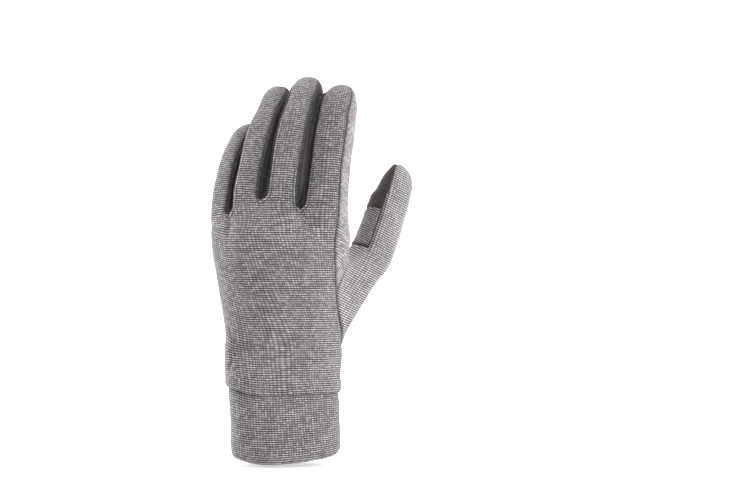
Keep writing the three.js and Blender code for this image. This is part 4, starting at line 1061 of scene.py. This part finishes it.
def panelRelief(name, used, base):
    # how far the outer face stands out: creases, pillows and soft folds, and what this panel has besides;
    # the values of its painted shade and highlights come with it
    s = slotShadow
    relief, softShade = seamReliefAt[used] + foldAt[used], softShadeAt(name, base)
    slotShade = np.zeros(len(used))
    if name in fourchettes:
        # painted shade on the strips between the fingers, growing away from the seams; the far side of each
        # slot is fully shaded
        slotShade = ease((seamGapAt[used] - s['start']) / (s['full'] - s['start']))
        relief = relief + puffBetween(fourchettes[name], used, base) * slotShade
        slotShade[np.isin(used, gridNumbers[f'little{fourchettes[name] + 1}'])] = 1
    if name in stitchedSeams:
        relief = relief + stitchedRelief(name, base)
    if name == 'back_panel':
        pucker, puckerShade = puckerAt(base)
        relief, softShade = relief + pucker, softShade + puckerShade
    return relief, dict(seamShade=seamShadeAt[used], slotShade=slotShade, softShade=softShade,
                        rolledGap=rolledGapAt(name, base))


def wallFaces(local, cells, count):
    # faces of a wall and their cloth coordinates: outer face, the same turned round for the inner face,
    # whose points follow count further on, and a rim at every edge that belongs to one face alone
    clothAt = np.zeros((count, 2))
    clothAt[local.ravel()] = cloth[cells.ravel()]
    following = np.roll(local, -1, axis=1)
    doubled = local == following
    starts, ends = local[~doubled], following[~doubled]
    forward = starts.astype(np.int64) * count + ends
    backward = ends.astype(np.int64) * count + starts
    border = ~np.isin(forward, backward)
    starts, ends = starts[border], ends[border]
    rims = np.stack([ends, starts, starts + count, ends + count], 1)
    rimCloth = clothAt[np.stack([ends, starts, starts, ends], 1)]
    whole = ~doubled.any(1)
    fours, foursCloth = local[whole], cloth[cells[whole]]
    bent = np.flatnonzero(doubled.sum(1) == 1)  # cells with two corners in one point are triangles
    corners = np.argsort(doubled[bent], axis=1, kind='stable')[:, :3]
    threes = np.take_along_axis(local[bent], corners, 1)
    threesCloth = np.take_along_axis(cloth[cells[bent]], corners[..., None], 1)
    parts = [fours, fours[:, ::-1] + count, threes, threes[:, ::-1] + count, rims]
    clothParts = [foursCloth, foursCloth[:, ::-1], threesCloth, threesCloth[:, ::-1], rimCloth]
    facesList = sum([part.tolist() for part in parts], [])
    return facesList, np.concatenate([part.reshape(-1, 2) for part in clothParts])


wallThickness = 2.0  # mm


def panelPiece(name):
    # outer face on the net, inner face one wall further in, and a rim that joins their borders
    cells = panelCells(name)
    corners = numbers[cells]
    used, local = np.unique(corners, return_inverse=True)
    base, out = joined[used], outward[used]
    relief, shades = panelRelief(name, used, base)
    outer = base + out * relief[:, None]
    inner = base + out * (foldAt[used] - wallThickness)[:, None]
    facesList, uv = wallFaces(local.reshape(corners.shape), cells, len(used))
    shades = {key: np.tile(values, 2) for key, values in shades.items()}
    piece = makeMesh(name + '_knit', np.concatenate([outer, inner]), facesList, uv, shades)
    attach(piece, 'root')
    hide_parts(name)
    return piece


pieces = {}
for name in panels:
    pieces[name] = panelPiece(name)
    print('panel', name, len(pieces[name].data.polygons), 'faces')


# cuff: cloth doubled by a fold at the mouth

cuffShape = dict(wall=3.6, rows=128, around=320, foldSteps=16, seamGap=0.02, mapJump=20.0)
cuffSections = dict(
    at=[0.00, 0.06, 0.14, 0.50, 1.00], left=[0.84, 0.87, 0.88, 0.885, 0.925],
    right=[0.93, 0.985, 1.010, 0.985, 0.955], depth=[0.92, 0.96, 0.98, 0.97, 0.97])
# how far the edge of the mouth rises, a share of cuffHeight, from the little side to the thumb side
mouthEdge = dict(
    at=[-1.0, -0.7, -0.3, 0.2, 0.6, 1.0], rise=[0.065, 0.013, 0.000, 0.024, 0.052, 0.095])


def cuffPoint(angle, share):
    # superellipse of the cuff's section, turned as the wrist is; towards the mouth its edge rises
    h = handShape
    left = h['wristLeft'] * curveThrough(cuffSections, 'left', share)
    right = h['wristRight'] * curveThrough(cuffSections, 'right', share)
    halfDepth = h['wristDepth'] / 2 * curveThrough(cuffSections, 'depth', share)
    turn = np.radians(handSections['turn'][0])
    halfWidth = (left + right) / 2
    x, y = oval(halfWidth, halfDepth, h['square'], angle)
    rise = curveThrough(mouthEdge, 'rise', x / halfWidth) * (1 - share)
    return stack((right - left) / 2 + x * np.cos(turn) + y * np.sin(turn),
                 x * np.sin(turn) - y * np.cos(turn), h['cuffHeight'] * (share + rise))


cuffShadow = dict(dark=0.8, up=3.2, across=-30.0, wide=9.0)


def underSeam(points):
    # the soft shadow on the cuff below the puffed hand, strongest near the little side
    c = cuffShadow
    up = np.exp(-((points[..., 2] - wristRise(points) - handShape['cuffHeight']) / c['up'])**2)
    return -c['dark'] * up * np.exp(-((points[..., 0] - c['across']) / c['wide'])**2)


def cuffPiece():
    # the profile runs down the outside, round the fold and up the inside; each row goes round the wrist
    c, height = cuffShape, handShape['cuffHeight']
    radius = c['wall'] / 2
    top = 1 - c['seamGap'] / height
    down = np.linspace(top, radius / height, c['rows'] + 1)
    turn = np.pi * np.arange(1, c['foldSteps']) / c['foldSteps']
    share = np.concatenate([down, radius / height * (1 - np.sin(turn)), down[::-1]])[:, None]
    out = np.concatenate([0 * down, radius * (np.cos(turn) - 1), 0 * down - c['wall']])[:, None]
    angle = np.linspace(0, 360, c['around'], endpoint=False)[None]
    middle = cuffPoint(angle + 0 * share, share + 0 * angle)
    middle[..., 2] += wristRise(middle)
    run = (cuffPoint(angle + 1 + 0 * share, share + 0 * angle)
           - cuffPoint(angle - 1 + 0 * share, share + 0 * angle))  # from one degree before to one after
    away = unit(stack(-run[..., 1], run[..., 0], 0 * run[..., 0]))
    steps = np.linalg.norm(np.diff(middle, axis=1, append=middle[:, :1]), axis=2)
    around = np.cumsum(steps, axis=1)
    clothAt = stack(around, share * height + 0 * angle, 0)[..., :2]
    outside = (np.arange(len(share)) <= c['rows'])[:, None]
    folds = foldRelief(middle.reshape(-1, 3)).reshape(around.shape)
    points = middle + away * (out + folds + rollIn(height - share * height) * outside)[..., None]
    rows, columns = around.shape
    grid = np.arange(rows * columns).reshape(rows, columns)
    a, b = grid, np.roll(grid, -1, 1)
    cells = np.stack([a, b, np.roll(b, -1, 0), np.roll(a, -1, 0)], -1).reshape(-1, 4)
    uv = clothAt.reshape(-1, 2)[cells]
    wrapped = np.abs(uv[..., 0] - uv[:, :1, 0]) > c['mapJump']  # where the map closes round the wrist
    uv[..., 0] = np.where(wrapped, uv[:, :1, 0], uv[..., 0])
    # painted shade of the wrist seam's crease along the top of the cuff
    bell = np.exp(-((height - share * height) / seamDepth['shadeWidth'])**2)
    shade = seamShades['wristBack'] * bell + 0 * angle
    piece = makeMesh('cuff_knit_fold', points.reshape(-1, 3), cells.tolist(), uv.reshape(-1, 2),
                     dict(seamShade=shade.ravel(), slotShade=0 * shade.ravel(),
                          softShade=underSeam(points).ravel(),
                          rolledGap=np.full(shade.size, seamDepth['reach'])))
    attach(piece, 'root')
    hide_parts('cuff')
    return piece


pieces['cuff'] = cuffPiece()
print('cuff', len(pieces['cuff'].data.polygons), 'faces')


# stitches: short rounded threads laid along the seams

def threadShape(sides=6, rings=3):
    # a capsule one unit long and one unit thick: rings of a rounded profile with a point at each end
    turn = 2 * np.pi * np.arange(sides) / sides
    along = -np.cos(np.pi * np.arange(1, rings + 1) / (rings + 1))
    thick = np.sqrt(1 - along**4)
    x = np.repeat(along / 2, sides)
    y = np.outer(thick, np.cos(turn)).ravel() / 2
    z = np.outer(thick, np.sin(turn)).ravel() / 2
    points = np.concatenate([np.stack([x, y, z], -1), [[-0.5, 0, 0], [0.5, 0, 0]]])
    grid = np.arange(rings * sides).reshape(rings, sides)
    a, b = grid[:-1], np.roll(grid, -1, 1)[:-1]
    c, d = np.roll(grid, -1, 1)[1:], grid[1:]
    sidesOf = np.stack([a, b, c, d], -1).reshape(-1, 4)
    first, last = len(points) - 2, len(points) - 1
    low = np.stack([np.roll(grid[0], -1), grid[0], np.full(sides, first)], -1)
    high = np.stack([grid[-1], np.roll(grid[-1], -1), np.full(sides, last)], -1)
    return points, sidesOf, low, high


def stitchPiece(name, rows, settings):
    # every stitch is the capsule turned along or across its seam, set beside it and lifted off the cloth
    s = settings
    shape, sidesOf, low, high = threadShape()
    allPoints = []
    for seam, sign in rows:
        run = seams[seam]
        line = evenLine(joined[run], s['pitch'])
        out = unit(evenLine(joined[run], s['pitch'], outward[run]))
        ahead = unit(np.gradient(line, axis=0))
        side = unit(np.cross(out, ahead))
        lie = np.radians(s['slant'])
        long = ahead * np.cos(lie) + side * np.sin(lie)
        wide = side * np.cos(lie) - ahead * np.sin(lie)
        centre = line + side * (sign * s['beside']) + out * (s['lift'] + foldRelief(line)[:, None])
        allPoints.append(centre[:, None] + shape[None, :, :1] * s['length'] * long[:, None]
                         + shape[None, :, 1:2] * s['thick'] * wide[:, None]
                         + shape[None, :, 2:] * s['thick'] * out[:, None])
    points = np.concatenate(allPoints)
    start = (np.arange(len(points)) * len(shape))[:, None, None]
    parts = [(part[None] + start).reshape(-1, part.shape[-1]) for part in (sidesOf, low, high)]
    flat = points.reshape(-1, 3)
    loops = np.concatenate([part.ravel() for part in parts])
    uv = np.stack([flat[loops, 0], flat[loops, 2]], -1)
    shade = np.repeat(np.random.default_rng(s['seed']).uniform(0, 1, len(points)), len(shape))
    piece = makeMesh(name, flat, sum([part.tolist() for part in parts], []), uv, dict(threadShade=shade))
    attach(piece, 'root')
    return piece


edgeStitches = dict(pitch=1.65, length=1.05, thick=0.34, slant=62.0, seed=3, beside=0.95, lift=0.40)
plainStitches = dict(pitch=1.9, length=1.3, thick=0.30, slant=12.0, seed=4, beside=0.0, lift=-0.45)
stitchedRuns = [(f'slot{i}back', -1) for i in range(3)] + [('indexBack', 1)]
pieces['edge_stitches'] = stitchPiece('edge_stitches', stitchedRuns, edgeStitches)
pieces['gusset_stitches'] = stitchPiece('gusset_stitches', [('thumbHole', 1)], plainStitches)
for name in ('edge_stitches', 'gusset_stitches'):
    print(name, len(pieces[name].data.polygons), 'faces')


# materials

def addNode(tree, kind, inputs=(), **settings):
    # a node with its settings, and with each input linked to a socket or set to a value
    made = tree.nodes.new(kind)
    for key, value in settings.items():
        setattr(made, key, value)
    for socket, value in dict(inputs).items():
        if isinstance(value, bpy.types.NodeSocket):
            tree.links.new(value, made.inputs[socket])
        else:
            made.inputs[socket].default_value = value
    return made


def mathNode(tree, operation, a, b=0.0, c=0.0):
    # one step of arithmetic on up to three values
    return addNode(tree, 'ShaderNodeMath', {0: a, 1: b, 2: c}, operation=operation).outputs[0]


def noiseNode(tree, vector, scale, detail=2.0):
    # soft noise of so many grains per mm of cloth
    return addNode(tree, 'ShaderNodeTexNoise', dict(Vector=vector, Scale=scale, Detail=detail)).outputs['Fac']


def grainNode(tree, vector, scale, detail):
    # noise stretched by its own scale in each direction of the cloth
    scaled = addNode(tree, 'ShaderNodeMapping', dict(Vector=vector, Scale=scale)).outputs[0]
    return noiseNode(tree, scaled, 1.0, detail)


def shadeNode(tree, name):
    # a value that the mesh carries at its points
    return addNode(tree, 'ShaderNodeAttribute', attribute_name=name).outputs['Fac']


def waveNode(tree, value):
    # 1 at whole numbers and 0 halfway between them: half plus half a cosine
    cosine = mathNode(tree, 'COSINE', mathNode(tree, 'MULTIPLY', value, 2 * np.pi))
    return mathNode(tree, 'MULTIPLY_ADD', cosine, 0.5, 0.5)


def shareNode(tree, value, amount):
    # 1 where the value is 1, less the amount where it is 0
    return mathNode(tree, 'MULTIPLY_ADD', value, amount, 1 - amount)


def rampNode(tree, factor, stops):
    # colours at places along a factor, mixed in between
    ramp = addNode(tree, 'ShaderNodeValToRGB', dict(Fac=factor))
    elements = ramp.color_ramp.elements
    while len(elements) < len(stops):
        elements.new(0.5)
    for element, (place, colour) in zip(elements, stops):
        element.position = place
        element.color = (*colour, 1)
    return ramp.outputs['Color']


def mixColour(tree, factor, a, b, way='MIX'):
    # colour a turned into b, or multiplied by it, by the factor
    made = addNode(tree, 'ShaderNodeMix', data_type='RGBA', blend_type=way)
    for socket, value in (('Factor_Float', factor), ('A_Color', a), ('B_Color', b)):
        target = next(i for i in made.inputs if i.identifier == socket)
        if isinstance(value, bpy.types.NodeSocket):
            tree.links.new(value, target)
        else:
            target.default_value = value
    return next(o for o in made.outputs if o.identifier == 'Result_Color')


def bellNode(tree, value, middle, width):
    # exp(-((value - middle) / width)^2)
    off = mathNode(tree, 'MULTIPLY_ADD', value, 1 / width, -middle / width)
    return mathNode(tree, 'EXPONENT', mathNode(tree, 'MULTIPLY', mathNode(tree, 'MULTIPLY', off, off), -1.0))


def newMaterial(name):
    # a new material, its node tree and its shader
    material = bpy.data.materials.new(name)
    material.use_nodes = True
    tree = material.node_tree
    return material, tree, tree.nodes['Principled BSDF']


knitRows = dict(pitch=1.45, waverLength=9.0)  # mm
grain = dict(yarn=(0.35, 1.4, 1), fibre=(1.6, 3.6, 1), cloud=0.05)  # grains per mm across and along the cloth
# lines of a rolled edge, a painted highlight on its ridge and a painted shade line beside it: middle and
# width of the light and the dark one in mm, strength, darkest tone left
rolledLook = dict(light=(0.35, 0.45), more=0.65, dark=(1.35, 0.42), less=0.65, darkest=0.12)
seamPatches = dict(least=0.5, more=0.8)  # the dark line of a seam varies with the fibres
knitRelief = dict(loops=0.35, fibre=0.6, deep=0.3)  # shares of the rows' height, and that height in mm


def edgeShade(tree, look):
    # painted shade along soft edges, and along rolled edges a painted highlight and a painted shade line: a
    # light and a dark bell of the distance to a rolled edge
    r = rolledLook
    rolled = shadeNode(tree, 'rolledGap')
    edge = mathNode(tree, 'MULTIPLY_ADD', shadeNode(tree, 'softShade'), look['soft'], 1.0)
    edge = mathNode(tree, 'MULTIPLY_ADD', bellNode(tree, rolled, *r['light']), r['more'], edge)
    edge = mathNode(tree, 'MULTIPLY_ADD', bellNode(tree, rolled, *r['dark']), -r['less'], edge)
    return mathNode(tree, 'MAXIMUM', edge, r['darkest'])


def knitTone(tree, place, yarn, fibre, cloud, look):
    # tone of the yarn round one half: a random part for each loop, streaks, fibres and broad clouds
    each = addNode(tree, 'ShaderNodeTexWhiteNoise', dict(Vector=place), noise_dimensions='2D')
    tone = mathNode(tree, 'MULTIPLY', each.outputs['Value'], look['each'])
    for part, amount in ((yarn, look['yarn']), (fibre, look['fibre']), (cloud, look['cloud'])):
        tone = mathNode(tree, 'MULTIPLY_ADD', part, amount, tone)
    total = look['each'] + look['yarn'] + look['fibre'] + look['cloud']
    return mathNode(tree, 'SUBTRACT', tone, total / 2 - 0.5)


def knitMaterial(name, look):
    # rows and loops from the cloth's own map: each loop has a random tone, streaks of yarn run along
    # the rows, and the grooves between rows and between loops are darker and lower
    material, tree, shader = newMaterial(name)
    uv = addNode(tree, 'ShaderNodeUVMap', uv_map='cloth').outputs['UV']
    split = addNode(tree, 'ShaderNodeSeparateXYZ', {0: uv})
    drift = mathNode(tree, 'MULTIPLY', noiseNode(tree, uv, 1 / knitRows['waverLength'], 1.0), look['waver'])
    row = mathNode(tree, 'MULTIPLY_ADD', split.outputs[1], 1 / knitRows['pitch'], drift)
    loop = mathNode(tree, 'MULTIPLY_ADD', split.outputs[0], 1 / look['loop'], drift)
    place = addNode(tree, 'ShaderNodeCombineXYZ', {
        0: mathNode(tree, 'FLOOR', mathNode(tree, 'ADD', loop, 0.5)),
        1: mathNode(tree, 'FLOOR', mathNode(tree, 'ADD', row, 0.5))}).outputs[0]
    yarn = grainNode(tree, uv, grain['yarn'], 3.0)
    fibre = grainNode(tree, uv, grain['fibre'], 2.0)
    tone = knitTone(tree, place, yarn, fibre, noiseNode(tree, uv, grain['cloud']), look)
    rows, loops = waveNode(tree, row), waveNode(tree, loop)
    dark = mathNode(tree, 'MULTIPLY', shareNode(tree, rows, look['groove']),
                    shareNode(tree, loops, look['between']))
    # painted shade on the strips between the fingers, taken off the brightness of the knit
    paintedSlotShade = mathNode(tree, 'MULTIPLY_ADD', shadeNode(tree, 'slotShade'), -look['slot'], look['light'])
    dark = mathNode(tree, 'MULTIPLY', mathNode(tree, 'MULTIPLY', dark, paintedSlotShade), edgeShade(tree, look))
    grey = addNode(tree, 'ShaderNodeCombineColor', {0: dark, 1: dark, 2: dark}).outputs[0]
    colour = mixColour(tree, 1.0, rampNode(tree, tone, look['stops']), grey, 'MULTIPLY')
    # painted shade in the seams' creases: a near-black colour mixed in, patchy with the fibres
    patchy = mathNode(tree, 'MULTIPLY_ADD', fibre, seamPatches['more'], seamPatches['least'])
    seam = mathNode(tree, 'MULTIPLY', shadeNode(tree, 'seamShade'), patchy)
    colour = mixColour(tree, mathNode(tree, 'MULTIPLY', seam, look['seam']), colour, (*look['deep'], 1))
    tree.links.new(colour, shader.inputs['Base Color'])
    height = mathNode(tree, 'MULTIPLY', rows, shareNode(tree, loops, knitRelief['loops']))
    height = mathNode(tree, 'MULTIPLY_ADD', fibre, knitRelief['fibre'], height)
    bump = addNode(tree, 'ShaderNodeBump', dict(
        Strength=look['bump'], Distance=knitRelief['deep'] * mm, Height=height))
    tree.links.new(bump.outputs[0], shader.inputs['Normal'])
    shader.inputs['Roughness'].default_value = look['rough']
    shader.inputs['Specular IOR Level'].default_value = look['specular']
    shader.inputs['Sheen Weight'].default_value = look['sheen']
    shader.inputs['Sheen Roughness'].default_value = look['sheenRough']
    shader.inputs['Sheen Tint'].default_value = (*look['sheenTint'], 1)
    return material


heatherLook = dict(
    loop=1.75, waver=0.5, each=0.20, yarn=0.14, fibre=0.46, cloud=0.14, groove=0.95, between=0.46, slot=1.28,
    soft=0.70, light=1.36, seam=1.0, deep=(0.022, 0.019, 0.018), bump=0.8, rough=0.95, specular=0.12,
    sheen=0.30, sheenRough=0.5, sheenTint=(0.82, 0.79, 0.78),
    stops=[(0.25, (0.11, 0.097, 0.098)), (0.45, (0.26, 0.240, 0.243)), (0.58, (0.40, 0.376, 0.380)),
           (0.78, (0.74, 0.72, 0.72))])
cuffLook = dict(heatherLook, loop=1.9, light=1.26)
# the thumb's knit is brighter: painted light where the thumb faces the key lamp
gussetLook = dict(heatherLook, each=0.12, yarn=0.10, fibre=0.38, groove=0.97, light=1.78)
sideLook = dict(heatherLook, groove=0.66, between=0.25, light=1.22)
# the strip on the thumb is a darker copy of the thumb's knit: painted shade
stripLook = dict(gussetLook, light=1.05)
padLook = dict(
    heatherLook, loop=0.9, groove=0.0, between=0.0, slot=0.0, light=1.0, seam=0.5, bump=0.35, rough=0.8,
    sheen=0.15,
    stops=[(0.25, (0.012, 0.009, 0.008)), (0.5, (0.030, 0.024, 0.022)), (0.75, (0.070, 0.058, 0.053))])
threadLook = dict(own=0.7, twist=0.3, twistScale=3.0, rough=0.85, specular=0.2, sheen=0.2,
                  stops=[(0.2, (0.10, 0.088, 0.085)), (0.8, (0.42, 0.39, 0.385))])


def threadMaterial(name, look):
    # every stitch has a tone of its own, varied by a fine twist
    material, tree, shader = newMaterial(name)
    shade = mathNode(tree, 'MULTIPLY', shadeNode(tree, 'threadShade'), look['own'])
    at = addNode(tree, 'ShaderNodeUVMap', uv_map='cloth').outputs['UV']
    twist = mathNode(tree, 'MULTIPLY', noiseNode(tree, at, look['twistScale']), look['twist'])
    colour = rampNode(tree, mathNode(tree, 'ADD', shade, twist), look['stops'])
    tree.links.new(colour, shader.inputs['Base Color'])
    shader.inputs['Roughness'].default_value = look['rough']
    shader.inputs['Specular IOR Level'].default_value = look['specular']
    shader.inputs['Sheen Weight'].default_value = look['sheen']
    return material


heather = knitMaterial('heather knit', heatherLook)
cuffKnit = knitMaterial('cuff knit', cuffLook)
gussetKnit = knitMaterial('gusset knit', gussetLook)
sideKnit = knitMaterial('index side knit', sideLook)
stripKnit = knitMaterial('thumb strip knit', stripLook)
pad = knitMaterial('touch pad', padLook)
thread = threadMaterial('seam thread', threadLook)
finishes = dict(  # material and slot of each piece; the others are plain heather knit
    cuff=(cuffKnit, 'cuff_knit'), thumb=(gussetKnit, 'heather_knit'),
    thumb_palm_strip=(stripKnit, 'heather_knit'), index_side_strip=(sideKnit, 'heather_knit'),
    index_touch_patch=(pad, 'touch_suede'), thumb_touch_patch=(pad, 'touch_suede'),
    edge_stitches=(thread, 'heather_knit'), gusset_stitches=(thread, 'heather_knit'))
for name, piece in pieces.items():
    material, slot = finishes.get(name, (heather, 'heather_knit'))
    piece.data.materials.append(material)
print('materials:', len(bpy.data.materials))


# studio: pale floor and wall, soft lights, and the camera at the photograph's viewing angle

studio = dict(floorSize=4.0, floorDrop=0.002, wallBack=1.4, bend=0.6, bendSteps=24, pale=(0.86, 0.86, 0.86),
              rough=0.9, glow=0.55)  # metres


def backdrop():
    # a floor that bends up into a wall along a quarter circle, one strip of cloth wide
    s = studio
    t = np.linspace(0, np.pi / 2, s['bendSteps'])
    y = np.concatenate([[-s['floorSize']], s['wallBack'] + s['bend'] * (np.sin(t) - 1), [s['wallBack']]])
    z = np.concatenate([[0], s['bend'] * (1 - np.cos(t)), [s['floorSize']]]) - s['floorDrop']
    x = np.array([-s['floorSize'], s['floorSize']])
    points = np.stack([np.tile(x, len(y)), np.repeat(y, 2), np.repeat(z, 2)], -1)
    row = np.arange(len(y) - 1)[:, None] * 2
    mesh = bpy.data.meshes.new('backdrop')
    mesh.from_pydata(points.tolist(), [], (row + np.array([[0, 1, 3, 2]])).tolist())
    mesh.polygons.foreach_set('use_smooth', np.ones(len(mesh.polygons), bool))
    obj = bpy.data.objects.new('backdrop', mesh)
    bpy.context.scene.collection.objects.link(obj)
    material, _, shader = newMaterial('pale paper')
    shader.inputs['Base Color'].default_value = (*s['pale'], 1)
    shader.inputs['Roughness'].default_value = s['rough']
    shader.inputs['Emission Color'].default_value = (1, 1, 1, 1)
    shader.inputs['Emission Strength'].default_value = s['glow']
    mesh.materials.append(material)


lights = dict(  # place, width and height in metres, power in watts
    key=dict(at=(1.7, -0.85, 0.8), size=(0.9, 1.4), power=37),
    rim=dict(at=(-1.5, 0.5, 0.4), size=(0.5, 1.4), power=40),
    top=dict(at=(0.4, -0.4, 1.5), size=(1.4, 1.0), power=20))
lightsAim = Vector((0, 0, 0.13))


def areaLight(name, at, size, power):
    # a soft rectangle of light turned towards the middle of the glove
    light = bpy.data.lights.new(name, 'AREA')
    light.shape = 'RECTANGLE'
    light.size, light.size_y = size
    light.energy = power
    obj = bpy.data.objects.new(name, light)
    obj.location = at
    obj.rotation_euler = (lightsAim - Vector(at)).to_track_quat('-Z', 'Y').to_euler()
    bpy.context.scene.collection.objects.link(obj)


room = dict(light=0.19, seen=0.95)  # strength of the white room as a light, and where the camera sees it


def whiteRoom():
    # strength of the world: light, plus the rest up to seen on the camera's own rays
    world = bpy.data.worlds.new('soft room')
    world.use_nodes = True
    tree = world.node_tree
    background = tree.nodes['Background']
    background.inputs[0].default_value = (1, 1, 1, 1)
    seen = addNode(tree, 'ShaderNodeLightPath').outputs['Is Camera Ray']
    strength = mathNode(tree, 'MULTIPLY_ADD', seen, room['seen'] - room['light'], room['light'])
    tree.links.new(strength, background.inputs[1])
    bpy.context.scene.world = world


cameraSpot = dict(away=1.150, height=0.1276, middle=0.005, lens=85.07, sensor=36, aimRight=0.053,
                  aimHeight=0.1469)  # metres, lens and sensor in mm


def photoCamera():
    # level with the palm, straight before the back of the hand, aimed right of the glove as in the photograph
    c = cameraSpot
    camera = bpy.data.cameras.new('camera')
    camera.lens = c['lens']
    camera.sensor_width = c['sensor']
    eye = bpy.data.objects.new('camera', camera)
    eye.location = (0, c['middle'] - c['away'], c['height'])
    aim = Vector((c['aimRight'], c['middle'], c['aimHeight']))
    eye.rotation_euler = (aim - eye.location).to_track_quat('-Z', 'Y').to_euler()
    bpy.context.scene.collection.objects.link(eye)
    bpy.context.scene.camera = eye


backdrop()
for name, light in lights.items():
    areaLight(name, **light)
whiteRoom()
photoCamera()
bpy.context.scene.view_settings.view_transform = 'Standard'
print('studio:', len(lights), 'lights')
